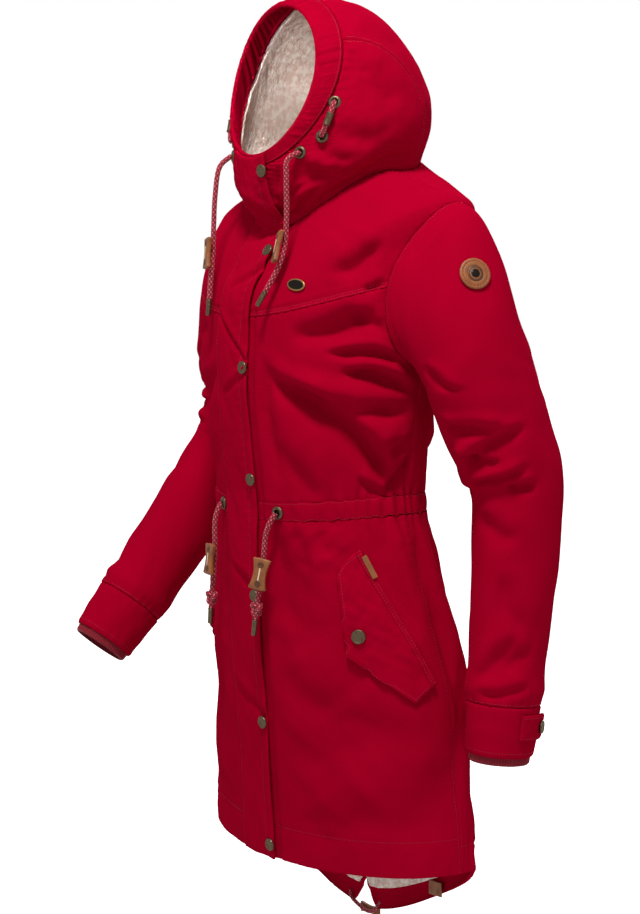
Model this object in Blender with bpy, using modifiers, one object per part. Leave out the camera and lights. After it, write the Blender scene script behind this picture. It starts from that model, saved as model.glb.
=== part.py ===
"""A woman's hooded winter parka in its worn shape, hollow, with nobody in it.

Metres, +Z up. The wearer faces -Y and the wearer's left is +X. The origin is the middle of the
neck, level with the shoulders, where the wearer's neck and shoulders hold the garment up.

Every cloth piece is a wall between an outer grid of points and an inner one. The points come from
three forms: body(angle, level), hood(angle, level) and sleeve(side, angle, level). A level counts
rows of the form's table, and fractions lie smoothly between the rows.
"""
import math

import bpy
import bmesh
import numpy as np
from mathutils import Matrix, Vector

# ------------------------------------------------------------------ driving sizes
SEAM_GAP = 0.0003
SHELL = 0.0026            # padded shell cloth
RIM_WALL = 0.0050         # hood rim: shell, cord tunnel and facing
FLEECE = 0.0040
RIB_WALL = 0.0022
CUFF_WALL = 0.0032
FLAP_WALL = 0.0026
LIFT = 0.0009             # a piece lying on a panel stands this clear of its facets

PLACKET_RIGHT = -0.036    # sewn edge, on the wearer's right
PLACKET_LEFT = 0.025      # free edge with the snaps
PLACKET_WALL = 0.0030

CORD_RADIUS = 0.0029
SNAP_RADIUS = 0.0072
ARM_HOLE_TOP = 2          # body levels
ARM_HOLE_FOOT = 6
YOKE_LEVEL = 4
WAIST_LEVEL = 9
NECK_START = 0.02
HEM_LEVEL = 13
TUNNEL_UP = 0.29          # levels above and below the waist line
TUNNEL_DOWN = 0.20
ARM_HOLE_FRONT = math.radians(25)
ARM_HOLE_BACK = math.radians(25)
SIDE = math.radians(90)
BACK = math.pi
RIGHT, LEFT = -1, 1
HALF_GAP = SEAM_GAP / 2

# ------------------------------------------------------------------ the three forms
# Body rings from the neck to the hem. drop = front, side and back height of the ring;
# middle = y of its widest place; front and back = depths from there; corner = how square the back is.
BODY = (
    # ring          z front  z side  z back  half w  middle  front   back    corner
    ("neck",        -0.064,  0.000,  0.018,  0.100,  0.010,  0.090,  0.092,  2.0),
    ("collarbone",  -0.086, -0.018, -0.010,  0.150,  0.020,  0.114,  0.096,  2.0),
    ("shoulder",    -0.110, -0.036, -0.054,  0.190,  0.028,  0.136,  0.086,  2.2),
    ("arm hole",    -0.134, -0.078, -0.096,  0.188,  0.020,  0.142,  0.084,  2.3),
    ("yoke seam",   -0.160, -0.118, -0.138,  0.184,  0.012,  0.140,  0.084,  2.3),
    ("chest",       -0.198, -0.166, -0.178,  0.180,  0.002,  0.132,  0.086,  2.3),
    ("arm pit",     -0.236, -0.212, -0.218,  0.174, -0.004,  0.126,  0.086,  2.3),
    ("ribs",        -0.292, -0.280, -0.282,  0.164, -0.008,  0.118,  0.080,  2.3),
    ("above waist", -0.342, -0.330, -0.328,  0.154, -0.008,  0.112,  0.072,  2.4),
    ("waist",       -0.376, -0.364, -0.368,  0.150, -0.008,  0.110,  0.070,  2.5),
    ("high hip",    -0.434, -0.424, -0.422,  0.162,  0.000,  0.117,  0.070,  2.8),
    ("hip",         -0.534, -0.526, -0.528,  0.185,  0.016,  0.128,  0.062,  3.6),
    ("thigh",       -0.646, -0.642, -0.656,  0.200,  0.025,  0.127,  0.042,  5.5),
    ("hem",         -0.775, -0.768, -0.864,  0.210,  0.025,  0.119,  0.032,  7.0),
)

# Hood rings from the face opening back and down to the neck seam, each slung between a point on
# the collar's front line and a point on the crown line.
HOOD = (
    # ring         collar y  collar z  crown y  crown z  half w  side lift  side back
    ("rim",        -0.107,   0.016,   -0.066,   0.185,   0.079,  0.000,     0.009),
    ("tunnel",     -0.106,   0.004,   -0.036,   0.192,   0.091,  0.000,     0.016),
    ("brow",       -0.105,  -0.006,    0.002,   0.193,   0.103,  0.000,     0.012),
    ("ear",        -0.104,  -0.016,    0.044,   0.178,   0.112,  0.002,     0.006),
    ("crown",      -0.102,  -0.026,    0.082,   0.147,   0.117,  0.006,     0.000),
    ("back",       -0.098,  -0.035,    0.105,   0.104,   0.118,  0.012,     0.000),
    ("nape",       -0.094,  -0.045,    0.113,   0.063,   0.116,  0.018,     0.000),
    ("roll",       -0.088,  -0.054,    0.110,   0.037,   0.110,  0.020,     0.000),
    ("neck",       -0.080,  -0.0625,   0.102,   0.0185,  0.100,  0.020,     0.000),
)
HOOD_FOOT = 8
HOOD_JOIN = 5.0           # from this level down the hood turns into the body's neck line
HOOD_RISE = 0.009         # height a level of the part that stands on the neck line
STRIP_HALF = math.radians(63)
TAIL_START = math.radians(128)
TAIL_BEND = 1.1
TAIL_LEVEL = 11

# Sleeve rings below the arm hole, along the arm of each side as the photo poses it.
SLEEVE_LEFT = (
    # ring         x       y       z       across  deep
    ("upper arm",  0.228,  0.029, -0.216,  0.051,  0.064),
    ("biceps",     0.236,  0.048, -0.274,  0.051,  0.061),
    ("elbow",      0.241,  0.073, -0.338,  0.048,  0.054),
    ("forearm",    0.242,  0.071, -0.420,  0.045,  0.049),
    ("low arm",    0.242,  0.063, -0.500,  0.042,  0.045),
    ("cuff seam",  0.242,  0.056, -0.574,  0.039,  0.041),
)
SLEEVE_RIGHT = (
    ("upper arm",  -0.2205, 0.028, -0.214,  0.0440, 0.060),
    ("biceps",     -0.228,  0.033, -0.270,  0.046,  0.056),
    ("elbow",      -0.236,  0.015, -0.338,  0.046,  0.050),
    ("forearm",    -0.243, -0.030, -0.404,  0.045,  0.048),
    ("low arm",    -0.249, -0.076, -0.463,  0.042,  0.045),
    ("cuff seam",  -0.254, -0.118, -0.516,  0.039,  0.042),
)
CUFF_LENGTH = 0.056
CUFF_TAPER = 0.90
RIB_LENGTH = 0.030
RIB_SHOWS = 0.009
CAP_LEVELS = 3            # sleeve levels between the arm hole and the first ring of its table

# Soft folds: troughs (negative depth) and ridges between two points of a form.
BODY_FOLDS = (
    # fold             angle0  z0      angle1  z1      half w   depth
    ("under yoke",      36,   -0.176,   62,   -0.168,  0.018,  -0.0060),
    ("arm pit",         42,   -0.222,   95,   -0.236,  0.020,  -0.0080),
    ("bust drag",       22,   -0.226,   92,   -0.348,  0.020,  -0.0085),
    ("bust ridge",      34,   -0.200,   80,   -0.290,  0.024,   0.0050),
    ("skirt front",     24,   -0.395,   33,   -0.490,  0.022,  -0.0065),
    ("skirt side",      96,   -0.395,  106,   -0.560,  0.026,  -0.0070),
    ("flap drag",       22,   -0.620,   46,   -0.570,  0.026,  -0.0060),
    ("hem side",        66,   -0.740,  100,   -0.620,  0.028,  -0.0060),
    ("back drag",      120,   -0.240,  162,   -0.340,  0.024,  -0.0070),
    ("back waist",     118,   -0.395,  136,   -0.520,  0.024,  -0.0065),
    ("back skirt",     160,   -0.395,  150,   -0.580,  0.024,  -0.0065),
    ("seat",           142,   -0.620,  118,   -0.720,  0.028,  -0.0060),
)
FOLD_RADIUS = 0.15        # turns a body angle into a length along the cloth
FAR_SIDE = 0.85           # the wearer's right repeats the folds a little weaker
GATHERS = 48              # waist gathers all round
GATHER_DEPTH = 0.0022
RIM_PUCKERS = 26
RIM_PUCKER_DEPTH = 0.0012

SLEEVE_FOLDS = (
    # fold            angle0  level0  angle1  level1  half w  depth
    ("cap crease",     70,    1.2,    96,     2.6,    0.018, -0.0040),
    ("elbow high",     84,    3.60,   36,     3.85,   0.015, -0.0060),
    ("elbow",          92,    4.20,   24,     4.10,   0.016, -0.0070),
    ("elbow low",      80,    4.80,   14,     4.92,   0.016, -0.0050),
    ("cuff puff",      70,    7.45,   10,     7.15,   0.018, -0.0040),
    ("back crease",   235,    4.3,   300,     5.4,    0.020, -0.0050),
)
SLEEVE_RADIUS = 0.05
SLEEVE_ROW = 0.07

# ------------------------------------------------------------------ colours
COLOURS = {
    "shell": ((0.40, 0.004, 0.020), 0.75, 0.0),
    "rib": ((0.22, 0.004, 0.012), 0.9, 0.0),
    "fleece": ((0.74, 0.62, 0.52), 0.95, 0.0),
    "cord": ((0.50, 0.03, 0.06), 0.8, 0.0),
    "leather": ((0.30, 0.10, 0.03), 0.55, 0.0),
    "brass": ((0.20, 0.14, 0.08), 0.35, 0.9),
}


# ------------------------------------------------------------------ reading the tables
def between_rows(table, level):
    """Values of a table at any level, on a smooth curve through its rows."""
    rows = np.array([row[1:] for row in table], float)
    level = np.clip(np.asarray(level, float), 0, len(rows) - 1)
    low = np.minimum(np.floor(level).astype(int), len(rows) - 2)
    t = (level - low)[..., None]
    start, end = rows[low], rows[low + 1]
    leave = (end - rows[np.maximum(low - 1, 0)]) / 2
    arrive = (rows[np.minimum(low + 2, len(rows) - 1)] - start) / 2
    t2, t3 = t * t, t * t * t
    value = start * (2 * t3 - 3 * t2 + 1) + leave * (t3 - 2 * t2 + t)
    value = value + end * (3 * t2 - 2 * t3) + arrive * (t3 - t2)
    return np.moveaxis(value, -1, 0)


def stack(x, y, z):
    return np.stack(np.broadcast_arrays(x, y, z), axis=-1)


def fold_depth(folds, across, along, scale_across, scale_along):
    """Sum of the soft folds at places given by two coordinates of a form."""
    total = np.zeros(np.broadcast(across, along).shape)
    for _, a0, b0, a1, b1, half, depth in folds:
        start = np.array([math.radians(a0) * scale_across, b0 * scale_along])
        run = np.array([math.radians(a1) * scale_across, b1 * scale_along]) - start
        px = across * scale_across - start[0]
        py = along * scale_along - start[1]
        t = np.clip((px * run[0] + py * run[1]) / (run @ run), 0, 1)
        away = (px - t * run[0]) ** 2 + (py - t * run[1]) ** 2
        total = total + depth * (0.35 + 0.65 * np.sin(math.pi * t)) * np.exp(-away / half ** 2)
    return total


# ------------------------------------------------------------------ body
def tail_share(angle):
    """How much of the fishtail's drop the back hem has at an angle."""
    turned = np.abs((angle + math.pi) % (2 * math.pi) - math.pi)
    return np.sin(math.pi / 2 * np.clip((turned - TAIL_START) / (math.pi - TAIL_START), 0, 1)) ** TAIL_BEND


def tail_reach(level):
    t = np.clip((np.asarray(level, float) - TAIL_LEVEL) / (HEM_LEVEL - TAIL_LEVEL), 0, 1)
    return t * t * (3 - 2 * t)


def plain_body(angle, level):
    """Body surface without folds. Angle 0 is the front, a quarter turn is the wearer's left."""
    z_front, z_side, z_back, half, middle, front, back, corner = between_rows(BODY, level)
    s, c = np.sin(angle), np.cos(angle)
    square = np.where(c > 0, 2.0, corner)
    reach = (np.abs(s) ** square + np.abs(c) ** square) ** (-1 / square)
    x = half * reach * s
    y = middle - np.where(c > 0, front, back) * reach * c
    share = np.where(c > 0, c * c, c * c + (tail_share(angle) - c * c) * tail_reach(level))
    z = z_side + (np.where(c > 0, z_front, z_back) - z_side) * share
    return stack(x, y, z)


def outward(form, angle, level, step_angle=0.04, step_level=0.12):
    """Unit normals of a form, pointing out."""
    turn = form(angle + step_angle, level) - form(angle - step_angle, level)
    fall = form(angle, level + step_level) - form(angle, level - step_level)
    normal = np.cross(fall, turn)
    return normal / np.linalg.norm(normal, axis=-1, keepdims=True)


def body_relief(angle, level):
    """How far the cloth stands out of the plain body: folds, fading at the placket."""
    z = plain_body(angle, level)[..., 2]
    turned = (angle + math.pi) % (2 * math.pi) - math.pi
    near = np.where(turned >= 0, 1.0, FAR_SIDE)
    depth = fold_depth(BODY_FOLDS, np.abs(turned), z, FOLD_RADIUS, 1.0) * near
    clear_of_placket = np.clip((np.abs(turned) - 0.26) / 0.25, 0, 1)
    clear_of_hem = np.clip((HEM_LEVEL - level) / 0.4, 0, 1)
    hole = ((np.abs(turned) - SIDE) / 0.5) ** 2 + ((level - YOKE_LEVEL) / 2.2) ** 2
    return depth * clear_of_placket * clear_of_hem * np.clip((hole - 1.0) * 2, 0, 1)


def body(angle, level, out=0.0):
    angle, level = np.asarray(angle, float), np.asarray(level, float)
    rise = (body_relief(angle, level) + out)[..., None]
    return plain_body(angle, level) + outward(plain_body, angle, level) * rise


def front_angle(x, level):
    """Body angle where the front is x metres from its middle line."""
    half = between_rows(BODY, level)[3]
    return np.arcsin(x / half)


# ------------------------------------------------------------------ hood
def plain_hood(angle, level):
    """Hood surface. Angle 0 is the crown line, a quarter turn is the left, half a turn the collar."""
    collar_y, collar_z, crown_y, crown_z, half, lift, back = between_rows(HOOD, level)
    s, c = np.sin(angle), np.cos(angle)
    y = (collar_y + crown_y) / 2 + (crown_y - collar_y) / 2 * c + back * s * s
    z = (collar_z + crown_z) / 2 + (crown_z - collar_z) / 2 * c + lift * s * s
    t = np.clip((np.asarray(level, float) - HOOD_JOIN) / (HOOD_FOOT - HOOD_JOIN), 0, 1)
    part = (t * t * (3 - 2 * t))[..., None]
    neck = plain_body(math.pi - np.asarray(angle, float), np.zeros(np.shape(t)))
    neck = neck + stack(0.0, 0.0, HOOD_RISE * (HOOD_FOOT - np.asarray(level, float)))
    return stack(half * s, y, z) * (1 - part) + neck * part


def hood_out(angle, level):
    return -outward(plain_hood, angle, np.clip(level, 0.12, HOOD_FOOT - 0.12))


def hood(angle, level, out=0.0):
    angle, level = np.asarray(angle, float), np.asarray(level, float)
    rise = (np.zeros(np.broadcast(angle, level).shape) + out)[..., None]
    return plain_hood(angle, level) + hood_out(angle, level) * rise


# ------------------------------------------------------------------ sleeves
def arm_hole(side, angle, inset=0.0):
    """Body angle and level on the arm hole. Angle 0 is the shoulder, a quarter turn the front."""
    s, c = np.sin(angle), np.cos(angle)
    wide = np.where(s > 0, ARM_HOLE_FRONT, ARM_HOLE_BACK) - inset / FOLD_RADIUS
    tall = (ARM_HOLE_FOOT - ARM_HOLE_TOP) / 2 - inset / 0.045
    middle = (ARM_HOLE_FOOT + ARM_HOLE_TOP) / 2
    return side * (SIDE - wide * s), middle - tall * c


def arm_rings(side):
    return SLEEVE_LEFT if side == LEFT else SLEEVE_RIGHT


def arm_frame(side, level):
    """Middle, outward and forward unit vectors and the two radii of an arm at a level."""
    table = arm_rings(side)
    x, y, z, across, deep = between_rows(table, level)
    ahead = between_rows(table, level + 0.3)
    behind = between_rows(table, level - 0.3)
    run = stack(ahead[0] - behind[0], ahead[1] - behind[1], ahead[2] - behind[2])
    run = run / np.linalg.norm(run, axis=-1, keepdims=True)
    out = np.zeros_like(run)
    out[..., 0] = side
    out = out - run * np.sum(out * run, axis=-1, keepdims=True)
    out = out / np.linalg.norm(out, axis=-1, keepdims=True)
    fore = np.cross(run, out) * side
    return stack(x, y, z), out, fore, across, deep, run


def arm_ring(side, angle, level):
    middle, out, fore, across, deep, run = arm_frame(side, level)
    s, c = np.sin(angle)[..., None], np.cos(angle)[..., None]
    return middle + out * c * across[..., None] + fore * s * deep[..., None]


def plain_sleeve(side, angle, level):
    """Sleeve surface: level 0 on the arm hole, CAP_LEVELS at the first ring, then one a ring."""
    angle, level = np.broadcast_arrays(np.asarray(angle, float), np.asarray(level, float))
    hole_angle, hole_level = arm_hole(side, angle, SEAM_GAP)
    start = plain_body(hole_angle, hole_level)
    first = np.zeros_like(level)
    end = arm_ring(side, angle, first)
    away = outward(plain_body, hole_angle, hole_level)
    away = away * np.array([1.0, 0.35, 0.0]) + np.array([side * 0.55, 0.0, -0.10])
    down = arm_frame(side, first)[5]
    t = np.clip(level / CAP_LEVELS, 0, 1)[..., None]
    span = np.linalg.norm(end - start, axis=-1, keepdims=True)
    leave = away / np.linalg.norm(away, axis=-1, keepdims=True) * span * 0.85
    arrive = down * span * 0.80
    t2, t3 = t * t, t * t * t
    cap = start * (2 * t3 - 3 * t2 + 1) + leave * (t3 - 2 * t2 + t)
    cap = cap + end * (3 * t2 - 2 * t3) + arrive * (t3 - t2)
    arm = arm_ring(side, angle, np.maximum(level - CAP_LEVELS, 0))
    return np.where((level < CAP_LEVELS)[..., None], cap, arm)


def sleeve_foot(side):
    return CAP_LEVELS + len(arm_rings(side)) - 1


def sleeve_out(side, angle, level):
    """Unit normals of a sleeve, pointing out."""
    def form(a, b):
        return plain_sleeve(side, a, b)
    return outward(form, angle, np.clip(level, 0.12, sleeve_foot(side) - 0.12)) * -side


def sleeve_relief(side, angle, level):
    turned = angle % (2 * math.pi)
    near = 1.0 if side == LEFT else FAR_SIDE
    depth = fold_depth(SLEEVE_FOLDS, turned, level, SLEEVE_RADIUS, SLEEVE_ROW) * near
    ends = np.clip((level - 0.4) / 0.8, 0, 1) * np.clip((sleeve_foot(side) - level) / 0.3, 0, 1)
    puff = 0.0028 * np.exp(-((level - sleeve_foot(side) + 0.25) / 0.22) ** 2)
    return depth * ends + puff * ends


def sleeve(side, angle, level, out=0.0):
    angle, level = np.broadcast_arrays(np.asarray(angle, float), np.asarray(level, float))
    rise = (sleeve_relief(side, angle, level) + out)[..., None]
    return plain_sleeve(side, angle, level) + sleeve_out(side, angle, level) * rise


# ------------------------------------------------------------------ making objects
def clear_scene():
    for thing in list(bpy.data.objects):
        bpy.data.objects.remove(thing, do_unlink=True)


def new_collection(name):
    group = bpy.data.collections.new(name)
    bpy.context.scene.collection.children.link(group)
    return group


def finish_object(name, thing, colour):
    """Link an object, with its own Principled material."""
    base, rough, metal = COLOURS[colour]
    material = bpy.data.materials.new(name)
    material.use_nodes = True
    shader = material.node_tree.nodes["Principled BSDF"]
    shader.inputs["Base Color"].default_value = (*base, 1.0)
    shader.inputs["Roughness"].default_value = rough
    shader.inputs["Metallic"].default_value = metal
    thing.data.materials.append(material)
    PARKA.objects.link(thing)
    return thing


def wall(name, outer, inner, colour, closed=False):
    """Cloth wall between two point grids (rows, columns, 3); closed joins the last column to the first."""
    rows, columns = outer.shape[:2]
    mesh = bpy.data.meshes.new(name)
    points = [tuple(p) for p in np.concatenate([outer.reshape(-1, 3), inner.reshape(-1, 3)])]
    under = rows * columns
    faces = []
    spans = columns if closed else columns - 1
    for r in range(rows - 1):
        for c in range(spans):
            n = (c + 1) % columns
            a, b = r * columns + c, r * columns + n
            d, e = (r + 1) * columns + c, (r + 1) * columns + n
            faces.append((a, d, e, b))
            faces.append((under + a, under + b, under + e, under + d))
    for c in range(spans):
        n = (c + 1) % columns
        last = (rows - 1) * columns
        faces.append((c, n, under + n, under + c))
        faces.append((last + n, last + c, under + last + c, under + last + n))
    if not closed:
        for r in range(rows - 1):
            a, d = r * columns, (r + 1) * columns
            faces.append((d, a, under + a, under + d))
            a, d = a + columns - 1, d + columns - 1
            faces.append((a, d, under + d, under + a))
    mesh.from_pydata(points, [], faces)
    shape = bmesh.new()
    shape.from_mesh(mesh)
    bmesh.ops.recalc_face_normals(shape, faces=shape.faces)
    shape.to_mesh(mesh)
    shape.free()
    mesh.shade_smooth()
    return finish_object(name, bpy.data.objects.new(name, mesh), colour)


def inside_of(points, normals, thickness):
    return points - normals * thickness


def place(thing, point, normal, up=(0, 0, 1)):
    """Stand an object's Z along a normal at a point, its Y as near to up as can be."""
    z = Vector(normal).normalized()
    x = Vector(up).cross(z).normalized()
    y = z.cross(x)
    turn = Matrix((x, y, z)).transposed().to_4x4()
    thing.matrix_world = Matrix.Translation(Vector(point)) @ turn


def turned(name, profile, colour, steps=12):
    """Round piece: a profile of (radius, height) pairs, top first, turned about Z by a Screw."""
    mesh = bpy.data.meshes.new(name)
    ring = profile[0] == profile[-1]
    points = [(radius, 0.0, height) for radius, height in (profile[:-1] if ring else profile)]
    edges = [(i, i + 1) for i in range(len(points) - 1)]
    if ring:
        edges.append((len(points) - 1, 0))
    mesh.from_pydata(points, edges, [])
    thing = bpy.data.objects.new(name, mesh)
    screw = thing.modifiers.new("turn", "SCREW")
    screw.axis = "Z"
    screw.steps = steps
    screw.render_steps = steps
    screw.use_merge_vertices = True
    screw.merge_threshold = 0.00001
    screw.use_smooth_shade = True
    return finish_object(name, thing, colour)


def plate(name, outline, thickness, colour, bevel=0.0006):
    """Flat piece cut to an outline in XY, with softened edges, made a mesh."""
    curve = bpy.data.curves.new(name, "CURVE")
    curve.dimensions = "2D"
    curve.fill_mode = "BOTH"
    curve.extrude = thickness / 2
    line = curve.splines.new("POLY")
    line.points.add(len(outline) - 1)
    for spot, (x, y) in zip(line.points, outline):
        spot.co = (x, y, 0, 1)
    line.use_cyclic_u = True
    draft = bpy.data.objects.new(name, curve)
    PARKA.objects.link(draft)
    view = bpy.context.evaluated_depsgraph_get()
    mesh = bpy.data.meshes.new_from_object(draft.evaluated_get(view))
    bpy.data.objects.remove(draft, do_unlink=True)
    shape = bmesh.new()
    shape.from_mesh(mesh)
    bmesh.ops.remove_doubles(shape, verts=shape.verts, dist=0.00001)
    shape.to_mesh(mesh)
    shape.free()
    mesh.materials.clear()
    thing = finish_object(name, bpy.data.objects.new(name, mesh), colour)
    if bevel:
        soft = thing.modifiers.new("soft edge", "BEVEL")
        soft.width = bevel
        soft.segments = 1
        soft.limit_method = "ANGLE"
    return thing


def smooth_route(points, spacing):
    """Evenly spaced points on a smooth curve through a route's points."""
    rows = [("", *p) for p in points]
    fine = between_rows(rows, np.linspace(0, len(rows) - 1, 40 * len(rows))).T
    length = np.concatenate([[0], np.cumsum(np.linalg.norm(np.diff(fine, axis=0), axis=1))])
    count = max(3, int(round(length[-1] / spacing)) + 1)
    marks = np.linspace(0, length[-1], count)
    return np.stack([np.interp(marks, length, fine[:, i]) for i in range(3)], axis=-1)


def tube(name, points, radius, colour, spacing=None):
    """Cord: a round tube on a smooth route, with filled ends."""
    route = smooth_route(points, spacing or radius * 5)
    curve = bpy.data.curves.new(name, "CURVE")
    curve.dimensions = "3D"
    curve.bevel_depth = radius
    curve.bevel_resolution = 2
    curve.use_fill_caps = True
    line = curve.splines.new("POLY")
    line.points.add(len(route) - 1)
    for spot, p in zip(line.points, route):
        spot.co = (*p, 1)
    return finish_object(name, bpy.data.objects.new(name, curve), colour)


# ------------------------------------------------------------------ body panels
def hole_levels(count=8):
    """Levels down the arm hole, closer together at its top and foot."""
    middle = (ARM_HOLE_FOOT + ARM_HOLE_TOP) / 2
    tall = (ARM_HOLE_FOOT - ARM_HOLE_TOP) / 2
    return [middle - tall * math.cos(math.pi * k / count) for k in range(count + 1)]


def levels_between(top, foot):
    """Body levels of a panel: those of the arm hole, and even ones above and below it."""
    marks = [0.0, 0.5, 1.0, 1.5] + hole_levels()
    marks += [ARM_HOLE_FOOT + 0.5 * k for k in range(1, 15)]
    inside = [m for m in marks if top + 0.08 < m < foot - 0.08]
    return np.array([top] + inside + [foot])


def hole_edge(level, wide):
    """How far the arm hole's edge is from the side line, as an angle."""
    middle = (ARM_HOLE_FOOT + ARM_HOLE_TOP) / 2
    tall = (ARM_HOLE_FOOT - ARM_HOLE_TOP) / 2
    return wide * np.sqrt(np.clip(1 - ((level - middle) / tall) ** 2, 0, 1))


def seam_angle(level):
    """Half a seam gap as a body angle at each level."""
    return HALF_GAP / between_rows(BODY, level)[3]


def panel(name, levels, start, end, columns, side=LEFT, thickness=SHELL, first=()):
    """Body panel between two edge angles, given per level; first = columns set by x at the front."""
    grid = []
    for i, level in enumerate(levels):
        fixed = [float(front_angle(x, level)) for x in first]
        lead = fixed[-1] if fixed else float(start[i])
        rest = np.linspace(lead, float(end[i]), columns - len(fixed) + (1 if fixed else 0))
        grid.append(fixed + list(rest[1:] if fixed else rest))
    angle = np.array(grid) * side
    level = np.repeat(np.array(levels)[:, None], angle.shape[1], axis=1)
    outer = body(angle, level)
    inner = inside_of(outer, outward(plain_body, angle, level), thickness)
    return wall(name, outer, inner, "shell")


def front_columns(side):
    """x of the columns under the placket, from the front's edge outward."""
    edge = PLACKET_LEFT if side == LEFT else -PLACKET_RIGHT
    return (HALF_GAP, edge * 0.5, edge)


def make_fronts():
    gap_up = HALF_GAP / 0.035
    for side, word in ((LEFT, "left"), (RIGHT, "right")):
        first = front_columns(side)
        yoke = levels_between(NECK_START, YOKE_LEVEL - gap_up)
        edge = SIDE - hole_edge(yoke, ARM_HOLE_FRONT) - seam_angle(yoke)
        panel(f"yoke_front_{word}", yoke, edge * 0, edge, 10, side, first=first)
        chest = levels_between(YOKE_LEVEL + gap_up, WAIST_LEVEL - TUNNEL_UP - gap_up)
        edge = SIDE - hole_edge(chest, ARM_HOLE_FRONT) - seam_angle(chest)
        panel(f"front_{word}", chest, edge * 0, edge, 12, side, first=first)
        skirt = levels_between(WAIST_LEVEL + TUNNEL_DOWN + gap_up, HEM_LEVEL)
        edge = SIDE - seam_angle(skirt)
        panel(f"skirt_front_{word}", skirt, edge * 0, edge, 14, side, first=first)


def make_backs():
    gap_up = HALF_GAP / 0.035
    levels = levels_between(NECK_START, WAIST_LEVEL - TUNNEL_UP - gap_up)
    edge = SIDE + hole_edge(levels, ARM_HOLE_BACK) + seam_angle(levels)
    panel("back", levels, edge, 2 * math.pi - edge, 17)
    skirt = levels_between(WAIST_LEVEL + TUNNEL_DOWN + gap_up, HEM_LEVEL)
    edge = SIDE + seam_angle(skirt)
    open_vent = np.clip((skirt - VENT_LEVEL) / (HEM_LEVEL - VENT_LEVEL), 0, 1) * VENT_HALF
    for side, word in ((LEFT, "left"), (RIGHT, "right")):
        middle = BACK - seam_angle(skirt) - open_vent / VENT_RADIUS
        panel(f"skirt_back_{word}", skirt, edge, middle, 11, side)
        grid = np.array([np.linspace(a, b, 11)[2:10] for a, b in zip(edge, middle)]) * side
        level = np.repeat(skirt[:, None], 8, axis=1)
        normal = outward(plain_body, grid, level)
        base = body(grid, level) - normal * (SHELL + 0.0007)
        fleece = np.flatnonzero(skirt > FLEECE_TOP)
        base = base[fleece]
        normal = normal[fleece]
        base[-1] = base[-2] + (base[-1] - base[-2]) * FLEECE_REACH
        wall(f"lining_back_{word}", base, inside_of(base, normal, FLEECE), "fleece")


VENT_LEVEL = 12.75
VENT_HALF = 0.022
VENT_RADIUS = 0.2
FLEECE_TOP = 11.4
FLEECE_REACH = 0.55       # share of the last row the fleece covers, short of the hem's facing


def make_waist_tunnel():
    """Band round the waist from one front edge to the other, raised into gathers by its cord."""
    rows = np.linspace(WAIST_LEVEL - TUNNEL_UP, WAIST_LEVEL + TUNNEL_DOWN, 3)
    left = [float(front_angle(x, WAIST_LEVEL)) for x in front_columns(LEFT)]
    right = [2 * math.pi - float(front_angle(x, WAIST_LEVEL)) for x in front_columns(RIGHT)]
    around = np.linspace(left[-1], right[-1], GATHERS * 2 + 1)
    angle, level = np.meshgrid(np.concatenate([left[:-1], around, right[-2::-1]]), rows)
    turned = np.abs((angle + math.pi) % (2 * math.pi) - math.pi)
    wave = np.cos(angle * GATHERS) * GATHER_DEPTH * (0.75 + 0.25 * np.sin(angle * 7.3))
    swell = np.sin(math.pi * (level - rows[0]) / (rows[-1] - rows[0]))
    rise = (0.0016 + wave) * swell * np.clip((turned - 0.42) / 0.15, 0, 1)
    wall("waist_tunnel", body(angle, level, rise), body(angle, level, -SHELL), "shell")


def strip_points(levels, xs):
    """Points on the front under the placket: hood levels above the neck, then body levels."""
    rows = []
    for level in levels:
        if level < 0:
            half = float(between_rows(HOOD, HOOD_FOOT + level)[4])
            angle = math.pi - np.arcsin(np.array(xs) / half)
            rows.append(hood(angle, np.full(len(xs), HOOD_FOOT + level)))
        else:
            rows.append(body(front_angle(np.array(xs), level), np.full(len(xs), level)))
    return np.array(rows)


def grid_normals(points):
    fall = np.gradient(points, axis=0)
    turn = np.gradient(points, axis=1)
    normal = np.cross(fall, turn)
    return normal / np.linalg.norm(normal, axis=-1, keepdims=True)


def make_placket():
    left = front_columns(LEFT)
    right = front_columns(RIGHT)
    xs = [-x for x in reversed(right)] + list(left)
    xs = [x for x in xs if x != -HALF_GAP]
    levels = [-7.9, -7, -6, -5, -4, -3, -2, -1]
    levels += list(levels_between(0.06, YOKE_LEVEL)) + list(levels_between(YOKE_LEVEL, WAIST_LEVEL)[1:])
    levels += list(levels_between(WAIST_LEVEL + 0.2, HEM_LEVEL)) + [HEM_LEVEL]
    levels = sorted(set(round(float(v), 4) for v in levels))
    base = strip_points(levels, xs)
    normal = grid_normals(base)
    under = base + normal * (SEAM_GAP + 0.0006)
    lift = np.zeros(len(xs))
    lift[-1] = 0.0012
    over = under + normal * (PLACKET_WALL + lift[None, :, None])
    wall("placket", over, under + normal * lift[None, :, None], "shell")
    return levels, base, normal


# ------------------------------------------------------------------ hood pieces
def hood_wall(name, angles, levels, colour, out=None, thickness=SHELL, closed=False, start=0.0):
    angle, level = np.meshgrid(angles, levels)
    rise = start if out is None else start + out(angle, level)
    outer = hood(angle, level, rise)
    inner = hood(angle, level, start - thickness)
    return wall(name, outer, inner, colour, closed)


def rim_puff(angle, level):
    """The rim tunnel swells between its seams and puckers along its cord."""
    swell = np.sin(math.pi * np.clip(level, 0, 1))
    swell = swell * np.clip((math.pi - np.abs(angle) - 0.60) / 0.25, 0, 1)
    return (0.0020 + RIM_PUCKER_DEPTH * np.cos(angle * RIM_PUCKERS)) * swell


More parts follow.
